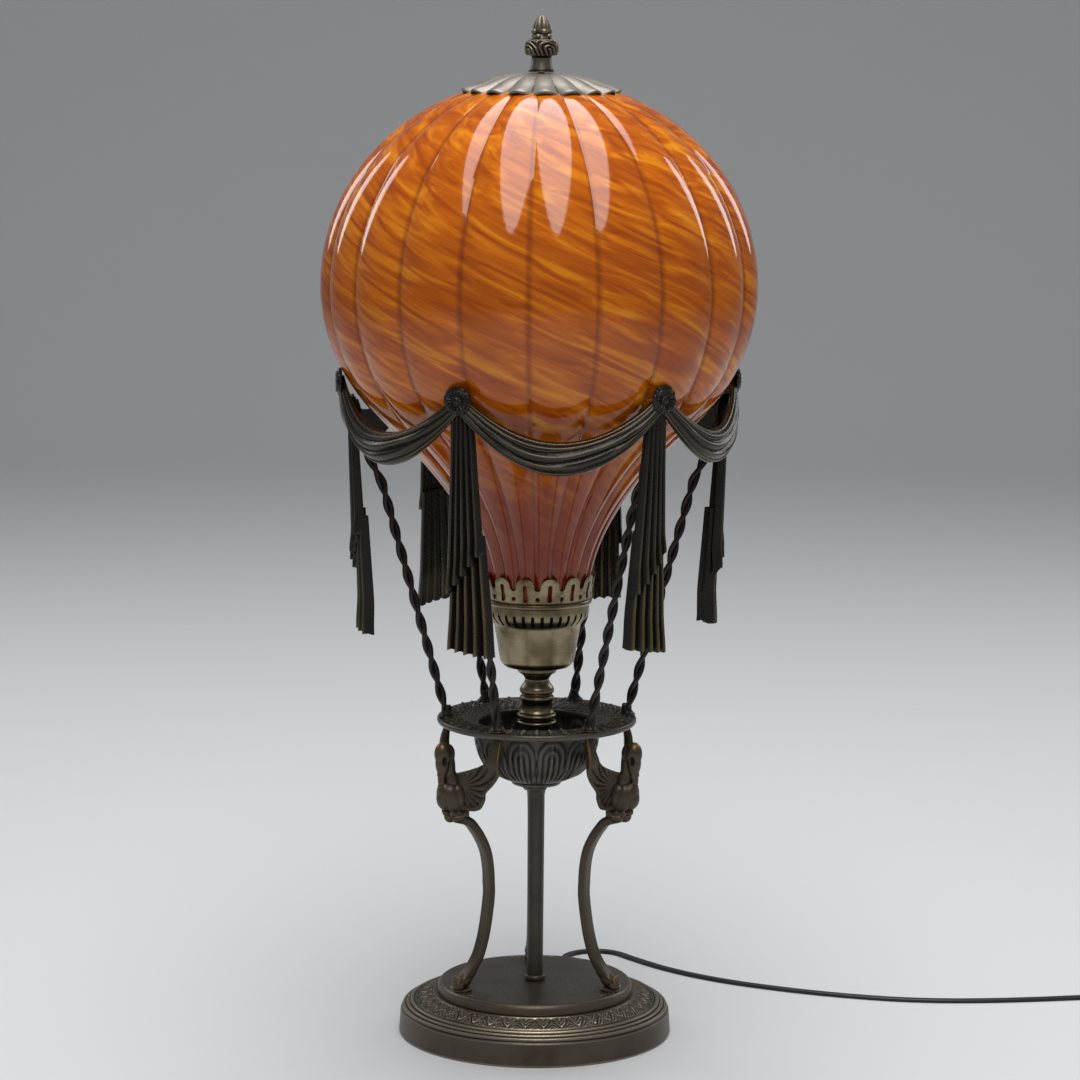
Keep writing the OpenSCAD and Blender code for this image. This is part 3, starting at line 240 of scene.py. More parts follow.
def flowing(points: Sequence[Sequence[float]], steps: int) -> Points:
    """A smooth curve through all of the points, as the frame's source draws its lead.

    Args:
        points: Points that the curve goes through.
        steps: Pieces that each stretch is cut into.

    Returns:
        The curve's points.
    """
    p = np.array(points, float)
    found = []
    for i in range(len(p) - 1):
        a, b, c, d = p[max(i - 1, 0)], p[i], p[i + 1], p[min(i + 2, len(p) - 1)]
        for k in range(steps):
            t = k / steps
            square, cube = 2 * a - 5 * b + 4 * c - d, 3 * b - a - 3 * c + d
            found.append(0.5 * (2 * b + (c - a) * t + square * t**2 + cube * t**3))
    return np.array(found + [p[-1]])


def turned(
    name: str,
    outline: Points,
    sides: int,
    relief: Callable[[Points, Points, Points], Points] | None = None,
) -> bpy.types.Object:
    """Turn an outline about the lamp's axis, and carve it.

    Args:
        name: Name of the piece.
        outline: Radii and heights along the outline.
        sides: Faces round the piece.
        relief: Gives how far a point stands out, from its angle in degrees, radius and height.

    Returns:
        The welded piece.
    """
    outline = np.array(outline, float)
    along = np.gradient(outline, axis=0)
    along /= np.maximum(np.linalg.norm(along, axis=1, keepdims=True), 1e-9)
    angle = np.linspace(0, 360, sides + 1)[None, :]
    radius, height = outline[:, :1] + 0 * angle, outline[:, 1:] + 0 * angle
    if relief is not None:
        lift = relief(angle + 0 * radius, radius, height)
        radius, height = radius + lift * along[:, 1:], height - lift * along[:, :1]
    piece = surface(name, polar(np.maximum(radius, 0), angle, height))
    weld(piece)
    return piece


def swept(name: str, way: Points, sections: Points, side: Sequence[float]) -> bpy.types.Object:
    """Skin a closed tube over sections that follow a way.

    Args:
        name: Name of the piece.
        way: Points along the middle.
        sections: Loop of two-dimensional points for each point of the way.
        side: Direction that the sections' second axis is squared to.

    Returns:
        The welded piece, with its ends closed.
    """
    along = np.gradient(way, axis=0)
    along /= np.linalg.norm(along, axis=1, keepdims=True)
    first = np.cross(np.array(side, float), along)
    first /= np.linalg.norm(first, axis=1, keepdims=True)
    second = np.cross(along, first)
    loops = way[:, None] + first[:, None] * sections[..., :1] + second[:, None] * sections[..., 1:]
    loops = np.concatenate([loops, loops[:, :1]], 1)
    ends = [np.repeat(way[i][None, None], loops.shape[1], 1) for i in (0, -1)]
    piece = surface(name, np.concatenate([ends[0], loops, ends[1]]))
    weld(piece)
    return piece


def modify(piece: bpy.types.Object, kind: str, **settings: object) -> None:
    """Give a piece a modifier and apply it.

    Args:
        piece: Piece that gets it.
        kind: Blender's name for its type.
        settings: What it is set to.
    """
    pick(piece)
    modifier = piece.modifiers.new(kind.lower(), kind)
    for name, value in settings.items():
        setattr(modifier, name, value)
    bpy.ops.object.modifier_apply(modifier=modifier.name)


def join(pieces: Sequence[bpy.types.Object]) -> bpy.types.Object:
    """Join pieces into the first of them.

    Args:
        pieces: Pieces to join, of which the first stays.

    Returns:
        The joined piece.
    """
    clear_selection()
    for piece in pieces:
        piece.select_set(True)
    bpy.context.view_layer.objects.active = pieces[0]
    bpy.ops.object.join()
    return pieces[0]


def place(piece: bpy.types.Object, matrix: Matrix) -> bpy.types.Object:
    """Move a piece's mesh, and leave its object at the origin."""
    piece.data.transform(matrix)
    return piece


def points_of(piece: bpy.types.Object) -> Points:
    """Read the points of a piece's mesh.

    Args:
        piece: Piece to read.

    Returns:
        A row of three coordinates for each point.
    """
    points = np.empty(len(piece.data.vertices) * 3, np.float32)
    piece.data.vertices.foreach_get("co", points)
    return points.reshape(-1, 3)


def store(piece: bpy.types.Object, title: str, values: Points) -> None:
    """Store a value at each point, for the finish to read.

    Args:
        piece: Piece that carries the values.
        title: Name of the attribute.
        values: A value for each point.
    """
    mesh = piece.data
    attribute = mesh.attributes.get(title) or mesh.attributes.new(title, "FLOAT", "POINT")
    attribute.data.foreach_set("value", np.ascontiguousarray(values, np.float32).ravel())


def mark_spot(piece: bpy.types.Object, at: Sequence[float], size: Sequence[float], amount: float) -> None:
    """Add to a piece's wear value round a spot, as rubbed wear and as painted highlight.

    Args:
        piece: Settled piece that shows wear.
        at: Middle of the spot in millimetres.
        size: Its reach along each axis.
        amount: Wear to add; a minus amount darkens the spot.
    """
    wear = np.empty(len(piece.data.vertices), np.float32)
    piece.data.attributes["wear"].data.foreach_get("value", wear)
    away = np.linalg.norm((points_of(piece) / MM - np.array(at)) / np.array(size), axis=1)
    store(piece, "wear", wear + amount * np.exp(-(away**4)))


def mark_wear(piece: bpy.types.Object, passes: int) -> None:
    """Store how far each point stands out of its neighbours, where hands rub a casting bright.

    Args:
        piece: Piece in millimetres.
        passes: Times that the value is averaged with the neighbours'.
    """
    mesh, points = piece.data, points_of(piece)
    normals = np.empty(len(mesh.vertices) * 3, np.float32)
    mesh.vertex_normals.foreach_get("vector", normals)
    normals = normals.reshape(-1, 3)
    edges = np.empty(len(mesh.edges) * 2, np.int64)
    mesh.edges.foreach_get("vertices", edges)
    ends = np.concatenate([edges.reshape(-1, 2), edges.reshape(-1, 2)[:, ::-1]])
    count = np.maximum(np.bincount(ends[:, 0], minlength=len(points)), 1)
    span = points[ends[:, 1]] - points[ends[:, 0]]
    length2 = np.maximum((span**2).sum(1), 1e-6)
    bend = -2 * (span * normals[ends[:, 0]]).sum(1) / length2
    value = np.bincount(ends[:, 0], bend, len(points)) / count
    for _ in range(passes):
        value = 0.5 * value + 0.5 * np.bincount(ends[:, 0], value[ends[:, 1]], len(points)) / count
    store(piece, "wear", value)


def settle(
    piece: bpy.types.Object,
    finish: "Finish",
    body: Body = Body.LAMP,
    stands_for: Iterable[str] = (),
    shading: Shading = Shading.SOFT,
    wear: int | None = None,
) -> bpy.types.Object:
    """Bring a finished piece to metres, dress it and put it on its body.

    Args:
        piece: Piece in millimetres.
        finish: What it is made of.
        body: Body that it rides on.
        stands_for: Nodes of the frame that it takes the place of.
        shading: How crisp its edges are.
        wear: Passes of the wear's smoothing, or None where the finish shows no wear.

    Returns:
        The piece.
    """
    if wear is not None:
        mark_wear(piece, wear)
    piece.data.transform(Matrix.Scale(MM, 4))
    pick(piece)
    bpy.ops.object.shade_smooth_by_angle(angle=math.radians(shading.value))
    piece.data.materials.clear()
    piece.data.materials.append(finish.material())
    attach(piece, body.value)
    nodes = list(stands_for)
    if nodes:
        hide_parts(*nodes)
    count = len(piece.data.polygons)
    LOG.info("%s: %d faces, %s, for %s", piece.name, count, finish.slot, nodes or "itself")
    return piece


# --- Finishes ----------------------------------------------------------------------------------


@dataclass(frozen=True)
class Finish:
    """What a piece is made of, as a named slot and a material built once."""

    slot: str
    title: str

    def material(self) -> bpy.types.Material:
        """The finish's material, made at its first use.

        Returns:
            The material.
        """
        found = bpy.data.materials.get(self.title)
        if found is not None:
            return found
        made = bpy.data.materials.new(self.title)
        made.use_nodes = True
        made.node_tree.nodes.clear()
        add = partial(add_node, made.node_tree)
        shader = add("ShaderNodeBsdfPrincipled", self.layers(add))
        add("ShaderNodeOutputMaterial", {0: shader})
        return made

    def layers(self, add: AddNode) -> Inputs:
        """Lay the finish out, with a function that adds a node, and return its shader's inputs."""
        raise NotImplementedError


@dataclass(frozen=True)
class PatinatedBronze(Finish):
    """Sand-cast bronze under a dark chemical patina, rubbed back to gold on whatever stands out.

    The patina is a thin brown-black skin with a waxed gloss, uneven over a few centimetres. The
    rubbed metal is bare and bright, with soft edges to the patina, and the casting skin gives it
    a fine grain.
    """

    hollow: str = "#15120f"
    skin: str = "#332d28"
    rubbed: str = "#94794b"
    worn_from: float = 0.06
    worn_to: float = 0.7
    worn_most: float = 0.5
    ragged: float = 0.22
    gloss: float = 0.38
    grain_mm: float = 1.1
    cloud_mm: float = 28

    def layers(self, add: AddNode) -> Inputs:
        """Lay the finish out.

        Args:
            add: Adds a node to the material.

        Returns:
            What feeds its shader.
        """
        where = add("ShaderNodeTexCoord").outputs["Object"]
        cloud = add("ShaderNodeTexNoise", {0: where, 2: 1 / (self.cloud_mm * MM), 3: 4})
        grain = add("ShaderNodeTexNoise", {0: where, 2: 1 / (self.grain_mm * MM), 3: 2})
        wear = add("ShaderNodeAttribute", attribute_name="wear").outputs["Fac"]
        drift = add("ShaderNodeMath", {0: cloud, 1: 0.5}, operation="SUBTRACT")
        drift = add("ShaderNodeMath", {0: drift, 1: self.ragged}, operation="MULTIPLY")
        ragged = add("ShaderNodeMath", {0: wear, 1: drift}, operation="ADD")
        worn = {0: ragged, 1: self.worn_from, 2: self.worn_to, 4: self.worn_most}
        bright = add("ShaderNodeMapRange", worn, **EASED)
        sunk = add("ShaderNodeMapRange", {0: wear, 1: -0.3, 2: 0.02}, **EASED)
        clouded = add("ShaderNodeMapRange", {0: cloud, 1: 0.4, 2: 0.85, 4: 0.6}, **EASED)
        hollow, skin = linear(self.hollow), linear(self.skin)
        skin = add("ShaderNodeMix", {0: clouded, 6: skin, 7: hollow}, **COLOURS)
        skin = add("ShaderNodeMix", {0: sunk, 6: hollow, 7: skin}, **COLOURS)
        colours = {0: bright, 6: skin, 7: linear(self.rubbed)}
        metal = {0: bright, 1: 0.0, 2: 0.6, 3: 0.55, 4: 1.0}
        gloss = {0: grain, 1: 0.3, 2: 0.7, 3: self.gloss - 0.05, 4: self.gloss + 0.08}
        relief = {"Strength": 0.5, "Distance": 0.06 * MM, "Height": grain}
        return {
            "Base Color": add("ShaderNodeMix", colours, **COLOURS),
            "Metallic": add("ShaderNodeMapRange", metal, **EASED),
            "Roughness": add("ShaderNodeMapRange", gloss, **EASED),
            "Normal": add("ShaderNodeBump", relief),
        }


@dataclass(frozen=True)
class SpunBrass(Finish):
    """Spun and turned brass under an aged lacquer, with fine lines round it.

    The lines make its highlights stand upright. The tone is an olive gold, with browner clouds
    where the lacquer has aged.
    """

    bright: str = "#93886e"
    aged: str = "#645942"
    cloud_mm: float = 22
    line_mm: float = 0.5
    line_long_mm: float = 40

    def layers(self, add: AddNode) -> Inputs:
        """Lay the finish out.

        Args:
            add: Adds a node to the material.

        Returns:
            What feeds its shader.
        """
        where = add("ShaderNodeTexCoord").outputs["Object"]
        cloud = add("ShaderNodeTexNoise", {0: where, 2: 1 / (self.cloud_mm * MM), 3: 4})
        # Real spinning lines are about 0.1 mm apart; they are drawn 0.5 mm apart so that they show
        finer = (1, 1, self.line_long_mm / self.line_mm)
        pressed = add("ShaderNodeMapping", {0: where, 3: finer})
        lines = add("ShaderNodeTexNoise", {0: pressed, 2: 1 / (self.line_long_mm * MM), 3: 3})
        aged = add("ShaderNodeMapRange", {0: cloud, 1: 0.35, 2: 0.7}, **EASED)
        colours = {0: aged, 6: linear(self.bright), 7: linear(self.aged)}
        gloss = {0: lines, 1: 0.3, 2: 0.7, 3: 0.24, 4: 0.38}
        relief = {"Strength": 0.35, "Distance": 0.02 * MM, "Height": lines}
        return {
            "Base Color": add("ShaderNodeMix", colours, **COLOURS),
            "Metallic": 1.0,
            "Roughness": add("ShaderNodeMapRange", gloss, **EASED),
            "Anisotropic": 0.4,
            "Normal": add("ShaderNodeBump", relief),
        }


@dataclass(frozen=True)
class PlainMetal(Finish):
    """Plated or turned metal of small fittings, with faint wiping marks in its gloss."""

    colour: str = "#b9b4a6"
    wiped: str = "#6d675c"
    gloss: float = 0.3
    marks_mm: float = 3

    def layers(self, add: AddNode) -> Inputs:
        """Lay the finish out.

        Args:
            add: Adds a node to the material.

        Returns:
            What feeds its shader.
        """
        where = add("ShaderNodeTexCoord").outputs["Object"]
        marks = add("ShaderNodeTexNoise", {0: where, 2: 1 / (self.marks_mm * MM), 3: 4})
        wiped = add("ShaderNodeMapRange", {0: marks, 1: 0.4, 2: 0.8, 4: 0.35}, **EASED)
        colours = {0: wiped, 6: linear(self.colour), 7: linear(self.wiped)}
        gloss = {0: marks, 1: 0.3, 2: 0.7, 3: self.gloss - 0.06, 4: self.gloss + 0.1}
        return {
            "Base Color": add("ShaderNodeMix", colours, **COLOURS),
            "Metallic": 1.0,
            "Roughness": add("ShaderNodeMapRange", gloss, **EASED),
        }


@dataclass(frozen=True)
class MouldedPlastic(Finish):
    """Injection-moulded plastic or soft PVC: one colour, a spark-eroded skin and a low sheen."""

    colour: str = "#141416"
    bloom: str = "#232326"
    bloom_mm: float = 14
    gloss: float = 0.42
    grain_mm: float = 0.5
    depth_mm: float = 0.03

    def layers(self, add: AddNode) -> Inputs:
        """Lay the finish out.

        Args:
            add: Adds a node to the material.

        Returns:
            What feeds its shader.
        """
        where = add("ShaderNodeTexCoord").outputs["Object"]
        skin = add("ShaderNodeTexNoise", {0: where, 2: 1 / (self.grain_mm * MM), 3: 2})
        bloom = add("ShaderNodeTexNoise", {0: where, 2: 1 / (self.bloom_mm * MM), 3: 3})
        colours = {0: bloom, 6: linear(self.colour), 7: linear(self.bloom)}
        gloss = {0: skin, 1: 0.3, 2: 0.7, 3: self.gloss - 0.05, 4: self.gloss + 0.07}
        relief = {"Strength": 0.6, "Distance": self.depth_mm * MM, "Height": skin}
        return {
            "Base Color": add("ShaderNodeMix", colours, **COLOURS),
            "Roughness": add("ShaderNodeMapRange", gloss, **EASED),
            "IOR": 1.5,
            "Normal": add("ShaderNodeBump", relief),
        }


@dataclass(frozen=True)
class WoolFelt(Finish):
    """Pressed wool felt: matt, matted fibres in slightly different greens."""

    colour: str = "#2c3a2e"
    pale: str = "#45543f"
    fibre_mm: float = 0.8

    def layers(self, add: AddNode) -> Inputs:
        """Lay the finish out.

        Args:
            add: Adds a node to the material.

        Returns:
            What feeds its shader.
        """
        where = add("ShaderNodeTexCoord").outputs["Object"]
        fibres = add("ShaderNodeTexNoise", {0: where, 2: 1 / (self.fibre_mm * MM), 3: 6})
        colours = {0: fibres, 6: linear(self.colour), 7: linear(self.pale)}
        relief = {"Strength": 1.0, "Distance": 0.3 * MM, "Height": fibres}
        return {
            "Base Color": add("ShaderNodeMix", colours, **COLOURS),
            "Roughness": 0.95,
            "Sheen Weight": 0.3,
            "Normal": add("ShaderNodeBump", relief),
        }


@dataclass(frozen=True)
class OpalGlass(Finish):
    """Opal glass, blown and fired white all through: a glossy skin over a milky body."""

    colour: str = "#efe9dc"
    milky: str = "#fbf7ee"
    drift_mm: float = 60

    def layers(self, add: AddNode) -> Inputs:
        """Lay the finish out.

        Args:
            add: Adds a node to the material.

        Returns:
            What feeds its shader.
        """
        where = add("ShaderNodeTexCoord").outputs["Object"]
        drift = add("ShaderNodeTexNoise", {0: where, 2: 1 / (self.drift_mm * MM), 3: 3})
        colours = {0: drift, 6: linear(self.colour), 7: linear(self.milky)}
        relief = {"Strength": 0.3, "Distance": 0.2 * MM, "Height": drift}
        return {
            "Base Color": add("ShaderNodeMix", colours, **COLOURS),
            "Roughness": 0.12,
            "IOR": 1.5,
            "Subsurface Weight": 0.4,
            "Subsurface Scale": 0.004,
            "Normal": add("ShaderNodeBump", relief),
        }


@dataclass(frozen=True)
class AmberGlass(Finish):
    """Mould-blown glass with an amber skin over opal, and streaks of gold and brown in it.

    The ribs catch long soft highlights, the grooves between them carry painted shade, and the
    skin deepens to a red brown where the glass was drawn in to its neck. The streaks run down to
    the right, on a helix about the lamp's axis, and swirl is its turn in radians a metre. Broad
    bands and fine threads are sized in millimetres, across the streaks and then along them.
    """

    brown: str = "#9c4200"
    amber: str = "#cc6a02"
    gold: str = "#e09212"
    groove_shade: str = "#5a1f02"
    at_neck: str = "#7c2003"
    opal: str = "#e9d9bd"
    swirl: float = 14.3
    band_mm: Place = (20, 20, 125 / 3)
    thread_mm: Place = (20 / 3, 20 / 3, 62.5)
    band_share: float = 0.84
    neck_high: float = 0.46
    neck_low: float = 0.36
    neck_share: float = 0.85

    def layers(self, add: AddNode) -> Inputs:
        """Lay the finish out.

        Args:
            add: Adds a node to the material.

        Returns:
            What feeds its shader.
        """
        where = add("ShaderNodeTexCoord").outputs["Object"]
        height = add("ShaderNodeSeparateXYZ", {0: where}).outputs[2]
        turn = add("ShaderNodeMath", {0: height, 1: self.swirl}, operation="MULTIPLY")
        turned_by = {"Vector": where, "Angle": turn}
        helix = add("ShaderNodeVectorRotate", turned_by, rotation_type="Z_AXIS")
        scaled = add("ShaderNodeMapping", {0: helix, 3: [1 / (mm * MM) for mm in self.band_mm]})
        bands = add("ShaderNodeTexNoise", {0: scaled, 2: 1.0, 3: 2.4, 8: 1.2})
        scaled = add("ShaderNodeMapping", {0: helix, 3: [1 / (mm * MM) for mm in self.thread_mm]})
        threads = add("ShaderNodeTexNoise", {0: scaled, 2: 1.0, 3: 1.5, 8: 0.4})
        broad = add("ShaderNodeMath", {0: bands, 1: self.band_share}, operation="MULTIPLY")
        fine = add("ShaderNodeMath", {0: threads, 1: 1 - self.band_share}, operation="MULTIPLY")
        streak = add("ShaderNodeMath", {0: broad, 1: fine}, operation="ADD")
        groove = add("ShaderNodeAttribute", attribute_name="groove").outputs["Fac"]
        neck = {0: height, 1: self.neck_high, 2: self.neck_low}
        neck = {0: add("ShaderNodeMapRange", neck, **EASED), 1: self.neck_share}
        coats = (
            (add("ShaderNodeMapRange", {0: streak, 1: 0.3, 2: 0.66}, **EASED), self.amber),
            (add("ShaderNodeMapRange", {0: streak, 1: 0.5, 2: 0.8}, **EASED), self.gold),
            # Painted shade: a darker brown in the grooves between the ribs
            (add("ShaderNodeMapRange", {0: groove, 1: 0.7, 4: 0.45}, **EASED), self.groove_shade),
            (add("ShaderNodeMath", neck, operation="MULTIPLY"), self.at_neck),
        )
        colour = linear(self.brown)
        for amount, coat in coats:
            colour = add("ShaderNodeMix", {0: amount, 6: colour, 7: linear(coat)}, **COLOURS)
        skin = add("ShaderNodeAttribute", attribute_name="skin").outputs["Fac"]
        colours = {0: skin, 6: linear(self.opal), 7: colour}
        relief = {"Strength": 0.25, "Distance": 0.25 * MM, "Height": bands}
        return {
            "Base Color": add("ShaderNodeMix", colours, **COLOURS),
            "Roughness": 0.09,
            "IOR": 1.52,
            "Specular IOR Level": 0.45,
            "Normal": add("ShaderNodeBump", relief),
        }


@dataclass(frozen=True)
class PaperRoll(Finish):
    """Matt photographer's paper, which the lamp stands on: one pale grey without any shine."""

    colour: str = "#d3d4d5"

    def layers(self, add: AddNode) -> Inputs:
        """Lay the finish out: one plain colour needs no node of its own."""
        return {"Base Color": linear(self.colour), "Roughness": 0.85}


FOOT = PatinatedBronze(
    "foot_bronze", "patinated_bronze_foot", skin="#544b40", rubbed="#c2b69f", worn_most=0.8
)
COLUMN = PatinatedBronze(
    "column_bronze", "patinated_bronze_column", skin="#4d463d", rubbed="#85775e"
)
GONDOLA = PatinatedBronze(
    "gondola_bronze", "patinated_bronze_gondola", skin="#554f48", rubbed="#9a9184"
)
SWAN = PatinatedBronze(
    "swan_bronze",
    "patinated_bronze_swan",
    skin="#4e4438",
    rubbed="#a88d58",
    worn_from=0.2,
    worn_to=1.1,
    worn_most=0.7,
)
ROPE = PatinatedBronze(
    "rope_bronze", "patinated_bronze_rope", skin="#2b2725", rubbed="#7a6a50", worn_from=0.2
)
DRAPE = PatinatedBronze(
    "drape_bronze", "patinated_bronze_drapery", skin="#2a2724", rubbed="#a18a58", gloss=0.28
)
BRASS = SpunBrass("antique_brass", "spun_brass_aged")
FINIAL = PatinatedBronze(
    "pewter_bronze", "patinated_bronze_finial", skin="#6a6156", rubbed="#9c9078"
)
# The cap's skin: a grey pewter tone, made lighter than the finial's same pewter bronze with painted
# light from above on its top
CAP_PEWTER_AND_TOP_LIGHT = PatinatedBronze(
    "pewter_bronze",
    "pewter_bronze_cap_and_top_light",
    hollow="#4a453e",
    skin="#8d867c",
    rubbed="#aaa294",
    gloss=0.42,
)
GLASS = AmberGlass("amber_glass", "amber_cased_glass")
BULB_OPAL = OpalGlass("bulb_opal", "opal_bulb_glass")
BULB_METAL = PlainMetal("bulb_metal", "nickelled_brass_bulb_cap", colour="#c4beb0")
CONTACT = PlainMetal("contact_brass", "sprung_brass_contact", colour="#c29b4e")
HARDWARE = PlainMetal("steel_hardware", "zinc_plated_steel", colour="#a49c8a", gloss=0.38)
NICKEL = PlainMetal("plug_nickel", "nickel_plated_brass_pin", colour="#cfcabd", gloss=0.2)
PHENOLIC = MouldedPlastic("phenolic", "brown_phenolic_moulding", colour="#26211d", gloss=0.3)
BLACK_PLASTIC = MouldedPlastic("black_plastic", "black_moulded_abs")
LEAD_PVC = MouldedPlastic(
    "lead_black", "black_pvc_lead", colour="#121214", gloss=0.38, grain_mm=0.9, depth_mm=0.02
)
FELT = WoolFelt("felt", "green_wool_felt")
PAPER = PaperRoll("paper", "matt_paper_roll")


# --- Studio ------------------------------------------------------------------------------------


@dataclass(frozen=True)
class SoftBox:
    """Oval soft box: where it hangs, what point it faces and its size, in metres, and its watts."""

    name: str
    at: Place
    aim: Place
    size: tuple[float, float]
    power: float

    def hang(self) -> None:
        """Hang it in the scene."""
        data = bpy.data.lights.new(self.name, "AREA")
        data.shape = "ELLIPSE"
        data.size, data.size_y = self.size
        data.energy = self.power
        lamp = bpy.data.objects.new(self.name, data)
        bpy.context.scene.collection.objects.link(lamp)
        way = Vector(self.aim) - Vector(self.at)
        turn = way.to_track_quat("-Z", "Y").to_matrix().to_4x4()
        lamp.matrix_world = Matrix.Translation(self.at) @ turn


@dataclass
class Studio:
    """Camera, soft boxes, pale floor and backdrop, all in metres."""

    lens: float = 124.03
    sensor: float = 36
    eye: Place = (0.0014, -2.6, 0.7595)
    pitch: float = 8.8
    roll: float = 0.42
    sees_to: float = 50
    boxes: tuple[SoftBox, ...] = (
        SoftBox("soft_box_top", (0.05, -0.5, 2.3), (0.05, -0.5, 0), (1.3, 4.1), 66),
        SoftBox("strip_left", (-1.5, 1.4, 1.25), (0, 0, 0.4), (0.5, 1.2), 5),
        SoftBox("strip_right", (1.5, 1.4, 1.25), (0, 0, 0.4), (0.5, 1.2), 5),
    )
    room_colour: str = "#d4d6d9"
    room_light: float = 0.32
    floor_front: float = -6.0
    floor_side: float = 8.0
    bend_from: float = 3.0
    bend_r: float = 1.2
    backdrop_top: float = 7.0

    def build(self) -> None:
        """Set up the whole studio."""
        self.add_camera()
        self.add_lamps()
        self.add_floor()
        bpy.context.scene.view_settings.view_transform = "Standard"

    def add_camera(self) -> None:
        """Stand the camera where the photograph was taken from."""
        data = bpy.data.cameras.new("camera")
        data.lens = self.lens
        data.sensor_width = self.sensor
        data.clip_end = self.sees_to
        camera = bpy.data.objects.new("camera", data)
        bpy.context.scene.collection.objects.link(camera)
        look = Matrix.Rotation(math.radians(90 - self.pitch), 4, "X") @ about_axis(self.roll)
        camera.matrix_world = Matrix.Translation(self.eye) @ look
        bpy.context.scene.camera = camera

    def add_lamps(self) -> None:
        """Hang a long soft box overhead and two slim ones behind the lamp, in a plain pale room."""
        for box in self.boxes:
            box.hang()
        world = bpy.data.worlds.new("studio")
        bpy.context.scene.world = world
        world.use_nodes = True
        tree = world.node_tree
        tree.nodes.clear()
        inputs = {0: linear(self.room_colour), 1: self.room_light}
        room = add_node(tree, "ShaderNodeBackground", inputs)
        add_node(tree, "ShaderNodeOutputWorld", {0: room})

    def add_floor(self) -> None:
        """Lay the floor and bend it up into a backdrop behind the lamp."""
        turns = np.radians(np.arange(0, 91, 6))
        back, r = self.bend_from, self.bend_r
        line = [(self.floor_front, 0.0), (0.0, 0.0)]
        line += [(back + r * math.sin(t), r * (1 - math.cos(t))) for t in turns]
        line += [(back + r, self.backdrop_top)]
        rows = np.array([[(x, y, z) for x in (-self.floor_side, self.floor_side)] for y, z in line])
        floor = surface("floor", rows)
        pick(floor)
        bpy.ops.object.shade_smooth()
        floor.data.materials.append(PAPER.material())


# --- Cast and turned pieces --------------------------------------------------------------------


def bead(
    radius: float, neck: float, low: float, high: float, count: int = 13
) -> list[tuple[float, float]]:
    """Draw a half-round bead of an outline.

    Args:
        radius: Greatest radius of the bead.
        neck: Radius that it stands on.
        low: Height where it begins.
        high: Height where it ends.
        count: Its points.

    Returns:
        Radii and heights along the bead.
    """
    middle, half = (low + high) / 2, (high - low) / 2
    turns = np.radians(np.linspace(-90, 90, count))
    return [(neck + (radius - neck) * math.cos(t), middle + half * math.sin(t)) for t in turns]


def rounded(outline: Sequence[Sequence[float]], reach: float, count: int = 4) -> Points:
    """Round the inner corners of an outline.

    Args:
        outline: Points of the outline.
        reach: How far from a corner its rounding starts; less where a stretch is short.
        count: Points of each rounding.

    Returns:
        The outline with curves for corners.
    """
    p = np.array(outline, float)
    found = [p[0]]
    for a, b, c in zip(p[:-2], p[1:-1], p[2:]):
        back, ahead = a - b, c - b
        room = min(reach, 0.45 * np.linalg.norm(back), 0.45 * np.linalg.norm(ahead))
        start = b + back / np.linalg.norm(back) * room
        end = b + ahead / np.linalg.norm(ahead) * room
        for t in np.linspace(0, 1, count):
            found.append(start * (1 - t) ** 2 + 2 * b * t * (1 - t) + end * t**2)
    return np.array(found + [p[-1]])


def sheet(name: str, face: Points, back: Points) -> bpy.types.Object:
    """Close a sheet between two equal grids of points.

    Args:
        name: Name of the piece.
        face: Points of its face, in rows and columns.
        back: Points of its back.

    Returns:
        The welded piece.
    """

    def looped(front: Points, rear: Points) -> Points:
        """Rows over the front, back over the rear and closed."""
        return np.concatenate([front, rear[:, ::-1], front[:, :1]], 1)

    ends = looped((face + back) / 2, (face + back) / 2)
    piece = surface(name, np.concatenate([ends[:1], looped(face, back), ends[-1:]]))
    weld(piece)
    return piece


def lump(
    at: Sequence[float], size: Sequence[float], tilt: float = 0.0, yaw: float = 0.0
) -> bpy.types.Object:
    """Add one egg-shaped lump of a casting.

    Args:
        at: Its middle.
        size: Its half lengths before it is tilted.
        tilt: Degrees that it is tilted by, about Y.
        yaw: Degrees that it is then turned by, about Z.

    Returns:
        The lump.
    """
    clear_selection()
    bpy.ops.mesh.primitive_uv_sphere_add(segments=32, ring_count=20, radius=1)
    turn = about_axis(yaw) @ Matrix.Rotation(math.radians(tilt), 4, "Y")
    return place(bpy.context.object, Matrix.Translation(at) @ turn @ Matrix.Diagonal((*size, 1)))


def fuse(
    name: str, pieces: Sequence[bpy.types.Object], passes: int, grain: float = 0.42
) -> bpy.types.Object:
    """Melt overlapping pieces into one casting.

    Args:
        name: Name of the casting.
        pieces: Closed pieces that overlap.
        passes: Times that it is smoothed.
        grain: Size of its faces.

    Returns:
        The casting.
    """
    piece = join(pieces)
    piece.name = name
    modify(piece, "REMESH", mode="VOXEL", voxel_size=grain, adaptivity=0)
    modify(piece, "SMOOTH", factor=0.5, iterations=passes)
    return piece


def press(
    piece: bpy.types.Object, at: Sequence[float], size: Sequence[float], push: Sequence[float]
) -> None:
    """Press a soft-edged hollow into a surface.

    Args:
        piece: The piece to work on.
        at: Middle of the hollow.
        size: Its reach along X, Y and Z.
        push: How far, and which way, its middle goes.
    """
    points = points_of(piece)
    away = np.linalg.norm((points - np.array(at)) / np.array(size), axis=1)
    points += np.outer(np.exp(-(away**2)) * (away < 2.5), np.array(push))
    piece.data.vertices.foreach_set("co", points.ravel())
    piece.data.update()


def about_axis(angle: float) -> Matrix:
    """Turn by an angle in degrees about the lamp's axis."""
    return Matrix.Rotation(math.radians(angle), 4, "Z")


